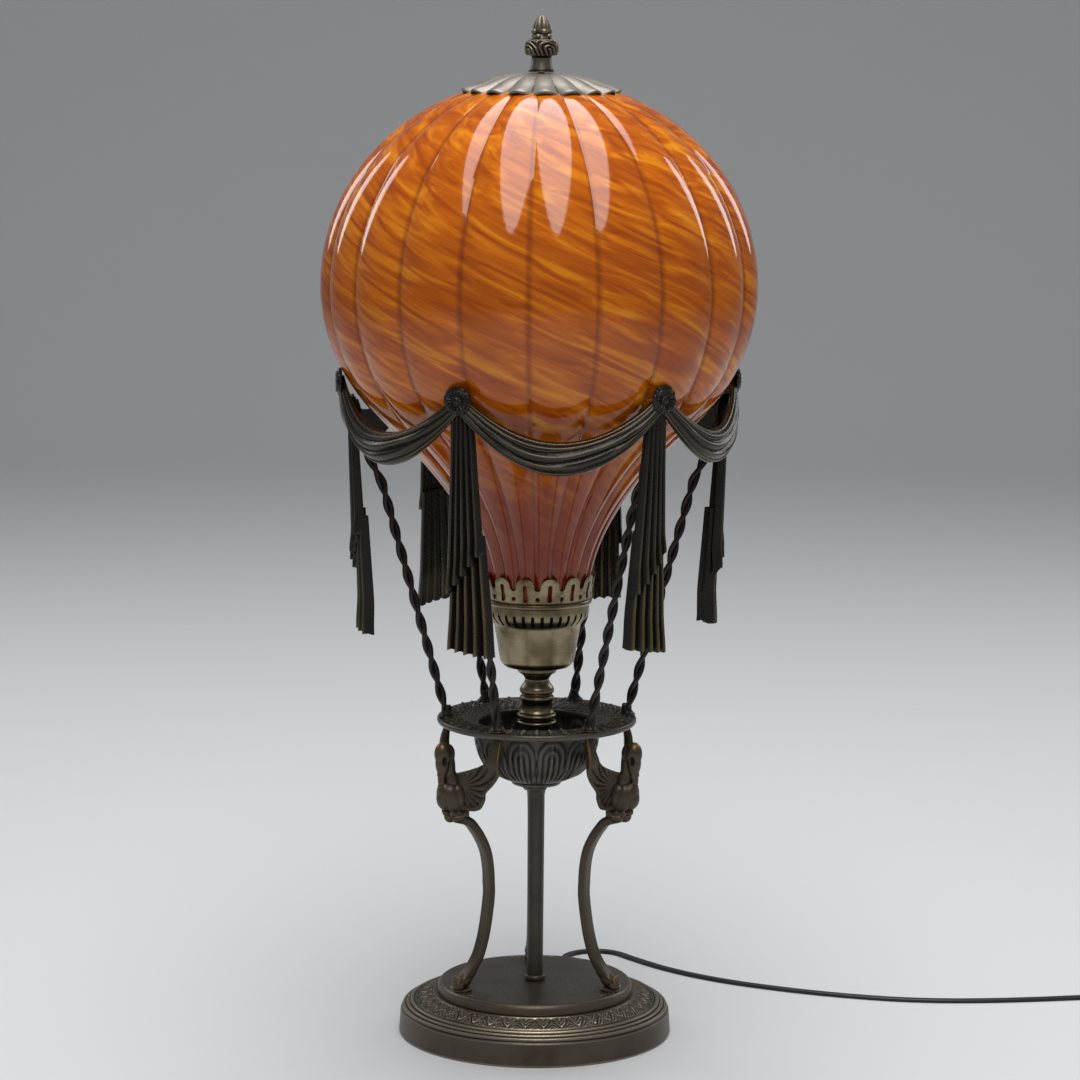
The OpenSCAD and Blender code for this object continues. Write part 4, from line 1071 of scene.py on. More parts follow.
def copies(piece: bpy.types.Object, angles: Sequence[float]) -> list[bpy.types.Object]:
    """Set a piece at each of these angles, each copy with its own mesh.

    Args:
        piece: Piece drawn along +X.
        angles: Degrees about the lamp's axis.

    Returns:
        The pieces, of which the first is the one that was drawn.
    """
    made = [piece]
    for angle in angles[1:]:
        other = piece.copy()
        other.data = piece.data.copy()
        bpy.context.scene.collection.objects.link(other)
        made.append(place(other, about_axis(angle)))
    place(piece, about_axis(angles[0]))
    return made


def refined(name: str, rounding: float) -> bpy.types.Object:
    """Copy a node of the frame with its points merged and its edges rounded.

    Args:
        name: Node of the frame.
        rounding: Width of the rounding in millimetres.

    Returns:
        The copy, in millimetres.
    """
    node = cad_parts[name]
    piece = bpy.data.objects.new(name + "_fine", node.data.copy())
    bpy.context.scene.collection.objects.link(piece)
    place(piece, Matrix.Scale(1 / MM, 4) @ node.matrix_world)
    weld(piece, 0.01)
    edit(piece, lambda: bpy.ops.mesh.dissolve_limited(angle_limit=math.radians(0.4)))
    limit = math.radians(35)
    modify(piece, "BEVEL", width=rounding, segments=2, limit_method="ANGLE", angle_limit=limit)
    return piece


@dataclass
class Foot:
    """Round plinth with three reeds and a band of leaves, and the platform on it."""

    radius: float = 97.5
    wall_high: float = 17.7
    reed_in: float = 86.0
    leaf_in: float = 71.8
    top: float = 29.0
    platform_r: float = 69.8
    platform_top: float = 36.9
    leaves: int = 40
    # Painted highlight: a brighter spot on the front of the leaf band, for the light that catches
    # it there
    front_highlight: tuple[Place, Place, float] = ((0, -79, 26), (52, 15, 8), 0.28)

    def build(self) -> None:
        """Make both castings."""
        plinth = turned("plinth", self.plinth_outline(), self.leaves * 16, self.leaf_relief)
        settle(plinth, FOOT, stands_for=["base_plinth"], wear=1)
        # Paint the highlight on the front of the leaf band
        mark_spot(plinth, *self.front_highlight)
        r, low, top = self.platform_r, self.top, self.platform_top
        lip = [(ROD_HOLE_R, low), (r - 0.8, low), (r, low + 0.9), (r, top - 2.4), (r - 2.2, top)]
        outline = dense(rounded(lip + [(ROD_HOLE_R, top)], 1.2), 4)
        parts = [turned("platform", outline, 256)]
        for k in range(-4, 5):
            size = (2.6 - 0.12 * abs(k), 0.5, 0.45)
            vein = lump((r - 5.2 - 0.3 * abs(k), 0, top), size, 0, k * 24)
            parts += copies(place(vein, about_axis(3.2 * k)), LEG_TURNS)
        settle(join(parts), FOOT, stands_for=["base_platform"], wear=1)

    def plinth_outline(self) -> Points:
        """Outline of the plinth, from its hollow underside over the rim to its top.

        Returns:
            Radii and heights.
        """
        r, high = self.radius, self.wall_high
        under = [(ROD_HOLE_R, 23.0), (67.8, 23.0), (90.5, 12.7), (90.5, 1.2)]
        under += [(94.3, 1.2), (94.3, 0.5)]
        wall = [(r, 0.5), (r, 2.6), (r - 1, high - 1.1), (r - 2.2, high)]
        reeds = []
        for share in (1 / 6, 3 / 6, 5 / 6):
            middle = (r - 2.5 - 8.5 * share, high + 0.2 + 5.2 * share)
            for turn in np.radians(np.linspace(-24, 141, 10)):
                reeds.append((middle[0] + 1.65 * math.cos(turn), middle[1] + 1.65 * math.sin(turn)))
        rise = (self.top - high - 5.8) / (self.reed_in - self.leaf_in)
        out, near, top = self.reed_in, self.leaf_in, self.top
        border = [(out, high + 5.8), (out - 0.6, high + 6.9), (out - 1.5, high + 6.2)]
        band = [(near + 1.8, top - 1.8 * rise - 0.1), (near + 0.9, top + 0.1), (near, top)]
        parts = [
            rounded(under + wall, 0.7),
            np.array(reeds),
            np.array(border),
            dense([border[-1], band[0]], 0.5)[1:],
            np.array(band[1:]),
            np.array([(self.platform_r - 6, top), (ROD_HOLE_R, top)]),
        ]
        return np.concatenate(parts)

    def leaf_relief(self, angle: Points, radius: Points, height: Points) -> Points:
        """Leaves of the band: upright ones with side veins, and their mirror images in the gaps.

        Args:
            angle: Degrees round the axis.
            radius: Distances from the axis.
            height: Heights.

        Returns:
            How far each point stands out.
        """
        inner, outer = self.leaf_in + 2, self.reed_in - 1.8
        along = np.clip((outer - radius) / (outer - inner), 0, 1)
        across = 2 * np.abs((angle * self.leaves / 360 + 0.5) % 1 - 0.5)
        edge = across - (1 - along) * 0.94
        way = np.where(edge < 0, 1, -1)
        veins = 0.5 + 0.5 * np.cos(2 * math.pi * (3.2 * along + 2.2 * across) * way)
        leaf = np.clip(np.abs(edge) * 5, 0, 1) * (0.45 + 0.55 * veins)
        inside = (radius > inner) & (radius < outer) & (height > self.wall_high + 4)
        return np.where(inside, 0.95 * leaf - 0.45, 0.0)


@dataclass
class Column:
    """Tube between the platform and the bowl, and the collar round its foot."""

    low: float = 36.9
    high: float = 178.5

    def build(self) -> None:
        """Make the tube and the collar."""
        low, high = self.low, self.high
        tube = [(ROD_HOLE_R, low), (5.7, low), (6.1, high - 6), (6.7, high - 2.4)]
        tube += [(7.4, high - 1.2), (7.8, high), (ROD_HOLE_R, high)]
        outline = dense(rounded(tube, 0.8), 6)
        settle(turned("column_tube_fine", outline, 96), COLUMN, stands_for=["column_tube"], wear=1)
        ring = [(5.9, low), *bead(7.7, 6.2, low, low + 4.2), (5.9, low + 4.2)]
        settle(turned("column_collar_fine", ring, 96), COLUMN, stands_for=["column_collar"], wear=1)


@dataclass
class Legs:
    """Three sabre legs: a channel down the face, a paw on the platform, claws under the swan."""

    low: float = 36.9
    top: float = 166.0
    foot_r: float = 61.0
    waist_r: float = 39.0
    swan_r: float = 72.0
    wide: float = 9.0
    deep: float = 6.6

    def way(self) -> Points:
        """Middle line of a leg, from its toes to the swan.

        Returns:
            Points of the line.
        """
        rise, foot, waist = self.top - self.low, self.foot_r, self.waist_r
        shares = [(foot + 5.5, 0.062), (foot + 0.5, 0.056), (foot - 5.5, 0.098)]
        shares += [(foot - 11.5, 0.163), (waist + 7, 0.222), (waist + 3.2, 0.334)]
        shares += [(waist, 0.504), (waist, 0.6)]
        shares += [(waist + 0.8, 0.69), (waist + 3, 0.775), (waist + 7, 0.845), (waist + 12, 0.905)]
        shares += [(waist + 18, 0.955), (self.swan_r - 4, 0.985)]
        return flowing([(r, 0, self.low + rise * share) for r, share in shares], 8)

    def section(self) -> Points:
        """Outline across a leg: flat back, rounded sides and two ridges with a channel between.

        Returns:
            Points across the leg: outwards, then sideways.
        """
        half = [(-1, 0), (-1, -1), (0.5, -1), (1, -0.62), (1, -0.5), (0.2, -0.28)]
        shares = half + [(0.05, 0)] + [(x, -y) for x, y in reversed(half)]
        corners = [(self.deep / 2 * x, self.wide / 2 * y) for x, y in shares]
        return rounded(corners, 1.1, 3)[:-1]

    def build(self) -> None:
        """Model one leg and set three of them."""
        way = self.way()
        sections = np.repeat(self.section()[None], len(way), 0)
        parts = [swept("leg_bar", way, sections, (0, -1, 0))]
        foot, low, top, swan = self.foot_r, self.low, self.top, self.swan_r
        paw = (
            ((foot - 0.5, 0, low + 1.0), (7.4, 5.8, 2.2), 0),
            ((foot + 3.2, 0, low + 4.2), (3.8, 5.6, 4.2), 0),
            ((foot - 1.5, 0, low + 7.4), (6.8, 5.2, 4.8), 30),
            ((foot - 6.5, 0, low + 12.5), (6.4, 4.6, 4.0), 50),
        )
        parts += [lump(at, size, tilt) for at, size, tilt in paw]
        for k in range(-2, 3):
            toe = (foot + 0.8 - 0.5 * abs(k), k * 1.9, low + 10.2 - 0.55 * k * k)
            parts.append(lump(toe, (5.4, 0.7, 1.4), 36, k * 8))
        for x, y in ((swan - 4.5, -4), (swan - 4.5, 4), (swan - 11, 0), (swan - 1, 0)):
            parts.append(lump((x, y, top - 0.6), (4.9, 4.2, 4.6)))
        leg = fuse("leg", parts, 2)
        cut_above(leg, top)
        for copy, name, turn in zip(copies(leg, LEG_TURNS), LEG_PLACES, LEG_TURNS):
            copy.name = f"leg_{name}_fine"
            settle(copy, SWAN, stands_for=[f"leg_{name}"], shading=Shading.ROUND, wear=3)
            mark_spot(copy, about_axis(turn) @ Vector((foot + 2, 0, low + 8)), (6, 6, 5), 0.45)


def cut_above(piece: bpy.types.Object, height: float, keep_low: bool = True) -> None:
    """Cut a piece off flat at a height, and close the cut.

    Args:
        piece: Piece to cut.
        height: Height of the cut.
        keep_low: Whether the part below the cut is the one that stays.
    """
    cut = {"plane_co": (0, 0, height), "plane_no": (0, 0, 1), "use_fill": True}
    cut |= {"clear_outer": keep_low, "clear_inner": not keep_low}
    edit(piece, lambda: bpy.ops.mesh.bisect(**cut))


@dataclass
class Swans:
    """Three swans, each with its head folded down on the breast and its wings under the ring.

    The edges of a wing are pairs of points, one on each edge, as shares of the reach to the rope
    and of the height. Where a wing rises to the ring it bows out as a strap.
    """

    rope_turn: float = 5.0
    foot: float = 166.0
    high: float = 59.7
    r: float = 72.0
    tip_r: float = 64.5
    thick: float = 3.2
    strap_out: float = 4.5
    strap_thick: float = 3.0
    shoulder: tuple[float, float] = (6.5, 23.5)
    feather_gap: float = 16.0
    edges: Sequence[tuple[tuple[float, float], tuple[float, float]]] = (
        ((0, 0.5), (0.06, 0.14)),
        ((0.25, 0.55), (0.28, 0.09)),
        ((0.5, 0.61), (0.54, 0.1)),
        ((0.66, 0.655), (0.68, 0.22)),
        ((0.776, 0.7), (0.7, 0.31)),
        ((0.84, 0.76), (0.87, 0.42)),
        ((0.9, 0.85), (1.02, 0.56)),
        ((0.93, 0.94), (1.05, 0.78)),
        ((0.94, 1), (1.07, 1)),
    )

    def wing(self, span: float) -> bpy.types.Object:
        """Sheet of one wing, its feathers in rounded ridges from the shoulder to the trailing edge.

        Args:
            span: Degrees that the wing reaches round the lamp, signed by its side.

        Returns:
            The wing.
        """
        table = np.array(self.edges).reshape(len(self.edges), 4)
        fine = flowing(table, 10)
        across = np.linspace(0, 1, 49)
        spread = fine[:, None, :2] * (1 - across[:, None]) + fine[:, None, 2:] * across[:, None]
        reach = math.radians(abs(span)) * self.tip_r * spread[..., 0] - self.shoulder[0]
        rise = self.high * spread[..., 1] - self.shoulder[1]
        away = np.hypot(reach, rise)
        fan = np.degrees(np.arctan2(rise, reach)) - 0.9 * away
        ridge = np.abs(np.sin(math.pi * (fan + 90) / self.feather_gap)) ** 0.6
        across, out, up = across[None], spread[..., 0], spread[..., 1]
        fade = smooth_step(away, 2.0, 8.0) * (1 - smooth_step(across, 0.84, 0.92))
        fade = fade * smooth_step(across, 0.02, 0.1)
        fade = fade * (1 - smooth_step(up, 0.6, 0.72)) * smooth_step(reach, -4, 1)
        lift = fade * 1.4 * (ridge - 1) + 0.4 * smooth_step(across, 0.86, 0.93)
        lift[0], lift[-1] = 0, 0
        radius = self.tip_r + (self.r - self.tip_r - 1) * np.maximum(0, 1 - out / 0.6) ** 2
        strap = smooth_step(out, 0.5, 0.9) * np.sin(math.pi * np.clip((up - 0.45) / 0.55, 0, 1))
        radius = radius + self.strap_out * strap
        inner = radius - self.thick - self.strap_thick * strap
        angle, height = span * out, self.foot + self.high * np.minimum(up, 1)
        return sheet("wing", polar(radius + lift, angle, height), polar(inner, angle, height))

    def bird(self) -> bpy.types.Object:
        """Body, neck, head and claws in one casting, with the eyes set on.

        Returns:
            The bird without its wings, drawn along +X.
        """
        r, low = self.r, self.foot
        head_low = low + self.high - 37.5
        egg_shapes = [
            ((r - 3.5, 0, low + 13.0), (10.2, 9.6, 12.6), 16),
            ((r + 2.6, 0, low + 14.5), (6.6, 7.4, 10.5), 12),
            ((r - 1.5, 0, low + 24.0), (5.6, 6.4, 10.0), 8),
            ((r + 0.4, 0, head_low + 11), (4.6, 4.6, 14), 0),
            ((r + 0.8, 0, head_low + 22), (4.5, 4.6, 7.4), 0),
            ((r + 5.6, 0, head_low + 22.4), (6.0, 5.9, 8.6), 3),
            ((r + 5.9, 0, head_low + 15.5), (5.0, 4.9, 9.0), 4),
            ((r + 6.4, 0, head_low + 8.2), (3.2, 3.4, 5.0), 4),
            ((r + 6.6, 0, head_low + 3.0), (2.5, 2.9, 5.6), 6),
            ((r + 6.6, 0, head_low - 1.0), (2.6, 3.3, 2.4), 10),
            ((r + 6.5, 0, head_low + 7.6), (3.5, 2.4, 2.2), 4),
            ((r + 2.6, 0, head_low - 1.5), (6.0, 6.3, 3.0), 30),
            ((r + 2.2, 0, head_low - 5.0), (6.2, 6.8, 3.0), 24),
            ((r + 3.2, 0, low + 12.0), (6.6, 6.4, 8.0), 12),
        ]
        for side in (-1, 1):
            egg_shapes.append(((r - 5.0, side * 5.5, low + 14), (6.0, 5.0, 9.5), 14))
            egg_shapes.append(((r - 0.8, side * 3.6, low + 13), (7.4, 6.0, 10.6), 14))
        parts = [lump(at, size, tilt) for at, size, tilt in egg_shapes]
        for y in (-4.6, 0, 4.6):
            parts.append(lump((r + 0.4 - 0.12 * y * y, y, low + 1.8), (5.4, 2.7, 3.2), -14, 3 * y))
        for x, y in ((r - 5, -4.6), (r - 5, 4.6), (r - 11, 0)):
            parts.append(lump((x, y, low + 0.8), (4.9, 4.0, 4.6)))
        bird = fuse("swan", parts, 9)
        cut_above(bird, low, keep_low=False)
        trims = [bird]
        for side in (-1, 1):
            eye = (r + 6.6, side * 5.6, head_low + 18.4)
            press(bird, eye, (1.7, 3.0, 3.2), (0, -side * 1.5, 0))
            trims.append(lump((eye[0], side * 3.9, eye[2]), (0.9, 0.6, 1.5), 3))
        return join(trims)

    def build(self) -> None:
        """Model one bird and set three of them, with wings that reach to the ropes beside each."""
        for copy, name, turn in zip(copies(self.bird(), LEG_TURNS), LEG_PLACES, LEG_TURNS):
            tip = 60 * math.ceil((turn - self.rope_turn) / 60) + self.rope_turn
            spans = (tip - turn, -(turn - tip + 60))
            whole = join([copy, *(place(self.wing(span), about_axis(turn)) for span in spans)])
            whole.name = f"swan_{name}_fine"
            settle(whole, SWAN, stands_for=[f"swan_{name}"], shading=Shading.ROUND, wear=3)
            self.rub_head(whole, turn)

    def rub_head(self, bird: bpy.types.Object, turn: float) -> None:
        """Rub the crown of the head and the breast to gold, and leave the eyes dark.

        Args:
            bird: Settled bird.
            turn: Angle in degrees where it stands.
        """
        r, high = self.r, self.foot + self.high
        spots = [((r + 7, 0, high - 11), 4.5, 6, 0.9), ((r + 9, 0, high - 41), 4, 4, 0.35)]
        spots += [((r + 6.6, side * 4.6, high - 19.1), 1.6, 2.7, -2.0) for side in (-1, 1)]
        for at, wide, tall, amount in spots:
            mark_spot(bird, about_axis(turn) @ Vector(at), (wide, wide, tall), amount)


@dataclass
class Gondola:
    """Bowl with upright acanthus leaves, and the broad leafed ring round its mouth."""

    bowl_z: float = 181.5
    high: float = 44.2
    bowl_r: float = 44.6
    wall: float = 3.0
    roundness: float = 2.6
    foot_r: float = 17.7
    ring_z: float = 225.7
    ring_r: float = 71.0
    ring_t: float = 5.0
    lip_r: float = 53.0
    leaves: int = 12
    tips: int = 40

    def bowl_line(
        self, radius: float, high: float, low: float, count: int
    ) -> list[tuple[float, float]]:
        """Draw the bowl's superellipse.

        Args:
            radius: Radius at its mouth.
            high: How high it is.
            low: Height of its floor.
            count: Its points.

        Returns:
            Radii and heights, from its floor to its mouth.
        """
        found = []
        for turn in np.radians(np.linspace(0, 90, count)):
            share = math.sin(turn) ** 2
            reach = radius * (1 - (1 - share) ** self.roundness) ** (1 / self.roundness)
            found.append((max(self.foot_r - 2, reach), low + high * share))
        return found

    def bowl_relief(self, angle: Points, radius: Points, height: Points) -> Points:
        """Acanthus leaves: a strong middle rib, lobes in nested arches, and darts between them.

        Args:
            angle: Degrees round the axis.
            radius: Distances from the axis.
            height: Heights.

        Returns:
            How far each point stands out.
        """
        rise = np.clip((height - self.bowl_z - 3) / (self.high - 4), 0, 1)
        across = 2 * np.abs((angle * self.leaves / 360) % 1 - 0.5)
        arch = np.hypot(across, np.maximum(0, rise - 0.55) / 0.4)
        inside = smooth_step(0.93 - arch, -0.03, 0.05)
        lobes = 0.5 + 0.5 * np.cos(2 * math.pi * 2.6 * arch)
        lobes = lobes * (0.6 + 0.4 * smooth_step(rise, 0.1, 0.5))
        rib = np.exp(-((across / 0.1) ** 2)) * (rise < 0.85)
        between = np.exp(-(((1 - across) / 0.14) ** 2))
        between = between * (0.5 + 0.5 * np.cos(2 * math.pi * (3.2 * rise)))
        lift = inside * (0.5 + 0.8 * lobes) + 0.6 * rib + 0.8 * between * (1 - inside) - 0.8
        fade = smooth_step(rise, 0.02, 0.14) * (1 - smooth_step(rise, 0.93, 0.99))
        outside = radius > self.foot_r + 0.5
        return np.where(outside, lift * fade, 0.0)

    def ring_relief(self, angle: Points, radius: Points, height: Points) -> Points:
        """Leaves that point outwards over the ring and end in round tips beside its smooth edge.

        Args:
            angle: Degrees round the axis.
            radius: Distances from the axis.
            height: Heights.

        Returns:
            How far each point stands out.
        """
        across = 2 * np.abs((angle * self.tips / 360) % 1 - 0.5)
        inner, outer = self.lip_r, self.ring_r - 3.4
        share = np.clip((radius - inner) / (outer - inner), 0, 1)
        tip = outer - radius - 1.6 * (1 - across) ** 2
        inside = smooth_step(tip, -0.25, 0.35)
        veins = 0.5 + 0.5 * np.cos(2 * math.pi * (4.2 * share - 0.9 * across))
        rib, gap = np.exp(-(((1 - across) / 0.16) ** 2)), np.exp(-((across / 0.14) ** 2))
        turn = np.radians(angle)
        swell = 0.25 * np.sin(turn * 9 + share * 5) + 0.2 * np.sin(turn * 23 - share * 7)
        leaf = 0.55 * veins + 0.8 * rib - 0.5 * gap + swell
        top = (height > self.ring_z + 1.2) & (radius > inner) & (radius < self.ring_r - 1.5)
        worn = 0.3 * np.sin(turn * 31 + radius * 1.7) * np.sin(turn * 17 - radius * 1.1)
        worn = (worn - 0.4) * smooth_step(inner - radius, 0, 1.5) * (height > self.ring_z + 1.5)
        return np.where(top, 1.2 * inside * leaf * smooth_step(share, 0, 0.12) - 0.45, worn)

    def build(self) -> None:
        """Make the bowl and the ring."""
        low, mouth, foot, wall = self.bowl_z, self.ring_z, self.foot_r, self.wall
        outside = [(ROD_HOLE_R, low), (foot - 0.6, low), (foot, low + 0.6), (foot, low + 2.0)]
        outside += self.bowl_line(self.bowl_r, self.high - 1, low + 1, 60)[4:]
        inner = self.bowl_line(self.bowl_r - wall, self.high - wall, low + wall, 24)
        back = [(self.bowl_r - wall, mouth), *reversed(inner), (ROD_HOLE_R, low + wall)]
        bowl = turned("bowl", np.array(outside + back), self.leaves * 40, self.bowl_relief)
        settle(bowl, GONDOLA, stands_for=["gondola_bowl"], wear=2)
        top, hole, r = mouth + self.ring_t, self.bowl_r - wall + 0.6, self.ring_r
        edge = bead(r, r - self.ring_t / 2, mouth, top, 11)
        slope = [(r - 2.6, top), (self.lip_r, top), (46.5, top - 1.6), (hole, mouth + 0.8)]
        slope = dense(rounded(slope, 3.0), 0.55)
        under = [(hole, mouth), (r - 2.6, mouth)]
        parts = (np.array(under), np.array(edge[1:]), slope[1:], np.array(under[:1]))
        outline = np.concatenate(parts)
        ring = turned("ring", outline, self.tips * 16, self.ring_relief)
        settle(ring, GONDOLA, stands_for=["gondola_ring"], wear=2)


@dataclass
class Ropes:
    """Six ropes of two twisted strands, from mounds on the ring to the backs of the tails."""

    turn: float = 5.0
    top_turn: float = 7.0
    low: float = 230.7
    top: float = 458.0
    foot_r: float = 64.0
    bend_r: float = 110.5
    bend_z: float = 398.5
    top_r: float = 129.1
    strand: float = 1.65
    pitch: float = 34.0

    def way(self, start: float, end: float, count: int = 300) -> Points:
        """Draw the middle line of a rope.

        Args:
            start: Angle of its foot in degrees.
            end: Angle of its top in degrees.
            count: Its points.

        Returns:
            Points of the line.
        """
        share = np.linspace(0, 1, count)
        bend = (self.bend_z - self.low) / (self.top - self.low)
        low = self.foot_r + (self.bend_r - self.foot_r) * share / bend
        curve = np.sin(np.radians(90 * (share - bend) / (1 - bend)))
        radius = np.where(share < bend, low, self.bend_r + (self.top_r - self.bend_r) * curve)
        height = self.low + (self.top - self.low) * share
        return polar(radius, start + (end - start) * share, height)

    def build(self) -> None:
        """Twist the six ropes."""
        twist = math.radians(180 * round(2 * (self.top - self.low) / self.pitch) + 90)
        circle = np.radians(np.arange(12) * 30)
        reach, thick = 1.05 * self.strand, 1.12 * self.strand
        flare = [(0.0, 0.2), (6.4, 0.0), (6.6, 0.5), (5.0, 1.7)]
        flare += [(3.9, 3.2), (3.2, 5.2), (2.9, 8.0), (0.0, 8.0)]
        for k, name in enumerate(ROPE_PLACES):
            start = self.turn + 60 * k
            way = self.way(start, self.top_turn + 60 * k)
            phase = np.linspace(0, twist, len(way))[:, None]
            side = polar(1.0, start + 90, 0.0)
            parts = []
            for half in (0, math.pi):
                x = reach * np.cos(phase + half) + thick * np.cos(circle)
                y = reach * np.sin(phase + half) + thick * np.sin(circle)
                parts.append(swept("strand", way, np.stack([x, y], -1), side))
            mound = turned("mound", dense(rounded(flare, 0.8), 0.8), 40, self.ripple)
            foot = Matrix.Translation((self.foot_r, 0, self.low))
            parts.append(place(mound, about_axis(start) @ foot))
            rope = join(parts)
            rope.name = f"rope_{name}_fine"
            settle(rope, ROPE, stands_for=[f"rope_{name}"], shading=Shading.ROUND, wear=1)

    @staticmethod
    def ripple(angle: Points, radius: Points, height: Points) -> Points:
        """Uneven surface of a mound where the rope was cast on."""
        return 0.22 * np.sin(np.radians(angle) * 5 + height) * (radius < 6)


@dataclass
class Drapery:
    """Six swags round the glass, with a petalled rosette and a two-layer fall where they meet."""

    turn: float = 7.0
    height: float = 470.5
    face_r: float = 140.56
    drop: float = 36.0
    mid: tuple[float, float] = (23.0, 9.5)
    end: tuple[float, float] = (14.0, 3.4)
    folds: float = 5.0
    tail_face: float = 135.3
    tail_top: float = 461.0
    tail_len: float = 167.0
    tail_w: tuple[float, float] = (16.0, 36.0)
    tail_t: float = 3.4
    tail_lean: float = 5.0
    flutes: int = 5
    hems: tuple[float, float] = (0.765, 0.565)
    petals: int = 16
    rosette_r: float = 9.8

    def swag(self) -> bpy.types.Object:
        """One swag, drawn across +X: folds that run along it and gather at its ends.

        Returns:
            The swag.
        """
        along = np.linspace(-1, 1, 101)[:, None]
        share = along**2
        half = (self.mid[0] + (self.end[0] - self.mid[0]) * share) / 2
        depth = self.mid[1] + (self.end[1] - self.mid[1]) * share
        level = self.height - 2.5 - self.drop * (1 - share)
        down = np.linspace(0, 1, 65)[None, :]
        turn = math.pi * (0.5 - down)
        sag = 0.06 * np.sin(math.pi * along * 1.5) + 0.05 * (1 - share)
        fold_at = self.folds * (down + sag * np.sin(math.pi * down)) + 0.02
        ridge = np.abs(np.sin(math.pi * fold_at))
        minor = np.abs(np.sin(math.pi * (2 * self.folds * down + 0.8 * along)))
        fold = (1.9 * (1 - share) + 0.9) * (1 - ridge**0.75) + 0.35 * (1 - minor) * (1 - share)
        fold *= np.sin(math.pi * down) ** 0.25
        radius = self.face_r - depth + np.maximum(depth - fold, 0.6) * np.cos(turn) ** 0.8
        radius = radius + 0.5 * np.exp(-((np.minimum(down, 1 - down) / 0.03) ** 2))
        angle, height = 29.7 * along + 0 * turn, level + half * np.sin(turn)
        back = self.face_r - depth - 0.02 + 0 * turn
        return sheet("swag", polar(radius, angle, height), polar(back, angle, height))

    def width_at(self, fall: Points, drop: float) -> Points:
        """Width of a layer that lies this far back, at a share of the fall's length."""
        top, hem = self.tail_w
        return (top + (hem - top) * np.maximum(fall, 0) ** 1.25) * (1 - 0.006 * drop)

    def layer(
        self, shares: Points, hems: tuple[float, float], drop: float, step: float
    ) -> bpy.types.Object:
        """One layer of a fall: flutes that deepen and spread towards a hem cut on the slant.

        Args:
            shares: Share of the fall's length at each row, from its hem to its top.
            hems: Length at its left and at its right edge, as shares.
            drop: How far it lies behind the face.
            step: How far the hem jumps back at each flute, as a share.

        Returns:
            The layer.
        """
        across = np.linspace(0, 1, 81)[None, :]
        cycle = (across * self.flutes) % 1
        jog = step * (smooth_step(cycle, 0.15, 0.95) - cycle)
        low = hems[0] + (hems[1] - hems[0]) * across + jog
        fall = shares[:, None] * low
        ridge = np.abs(np.sin(math.pi * self.flutes * across)) ** 1.2
        deep = (1.2 + 3.4 * fall) * (1 - ridge)
        bow = (2 * across - 1) ** 2 * (1.5 + 3.5 * fall)
        flare = 1.6 * smooth_step(shares[:, None], 0.84, 1.0)
        wide = self.width_at(fall, drop)
        x = self.tail_face - drop - self.tail_lean * fall - bow + flare
        y, z = wide * (across - 0.5 + 0.012 * drop), self.tail_top - self.tail_len * fall
        face = np.stack([x - deep, y + 0 * x, z + 0 * x], -1)
        back = np.stack([x - self.tail_t - 0.7 * deep, y + 0 * x, z + 0 * x], -1)
        piece = sheet("layer", face, back)
        points = points_of(piece)
        fall = (self.tail_top - points[:, 2]) / self.tail_len
        across = points[:, 1] / self.width_at(fall, drop) + 0.5 - 0.012 * drop
        crest = np.abs(np.sin(math.pi * self.flutes * across))
        store(piece, "wear", 0.55 * crest**6 * (0.15 + 0.85 * fall))
        return piece

    def rosette(self) -> bpy.types.Object:
        """Rosette on the face of a knot: petals round a beaded eye.

        Returns:
            The rosette, in its place on +X.
        """

        def relief(angle: Points, radius: Points, height: Points) -> Points:
            """Petals, beads round the eye, and folds in the edge of the cloth.

            Args:
                angle: Degrees round the axis.
                radius: Distances from the axis.
                height: Heights.

            Returns:
                How far each point stands out.
            """
            turn = np.radians(angle)
            petal = np.abs(np.sin(turn * self.petals / 2)) ** 0.7
            ring = smooth_step(radius, 2.6, 3.6) * (1 - smooth_step(radius, 6.9, 7.3))
            cloth = 0.35 * np.sin(turn * 7 + 2 * np.sin(turn * 3)) * smooth_step(radius, 7.8, 8.6)
            beads = np.exp(-(((radius - 2.7) / 0.5) ** 2)) * (0.5 + 0.5 * np.cos(turn * 8))
            return 0.9 * ring * (petal - 0.7) + 0.4 * beads + cloth * (height > -0.6)

        r = self.rosette_r
        outline = [(0, -1.6), (r - 0.3, -1.6), (r, -0.9), (r - 0.3, 0.2), (8.8, 0.9), (7.7, 0.9)]
        outline += [(7.4, 1.9), (6.6, 2.2), (4.4, 1.4), (3.4, 1.1), (2.4, 1.6), (1.9, 2.4)]
        outline += [(0.9, 2.75), (0, 2.8)]
        piece = turned("rosette", dense(rounded(outline, 0.5), 0.4), 128, relief)
        face = Matrix.Rotation(math.radians(90), 4, "Y")
        return place(piece, Matrix.Translation((self.face_r, 0, self.height)) @ face)

    def build(self) -> None:
        """Make the swags, the falls and the rosettes."""
        angles = [self.turn + 60 * k for k in range(6)]
        for copy, name in zip(copies(self.swag(), [a + 30 for a in angles]), SWAG_PLACES):
            copy.name = f"swag_{name}_fine"
            settle(copy, DRAPE, stands_for=[f"swag_{name}"], shading=Shading.ROUND, wear=3)
        upper = self.layer(np.linspace(1, 0, 60), self.hems, 0.0, 0.06)
        lower = self.layer(np.linspace(1, 0.5, 40), (0.97, 1.0), 3.0, -0.03)
        for copy, name in zip(copies(join([upper, lower]), angles), ROPE_PLACES):
            copy.name = f"tail_{name}_fine"
            settle(copy, DRAPE, stands_for=[f"tail_{name}"], shading=Shading.SOFT)
        rosettes = join(copies(self.rosette(), angles))
        rosettes.name = "rosettes_fine"
        settle(rosettes, DRAPE, stands_for=["rosettes"], shading=Shading.SOFT)


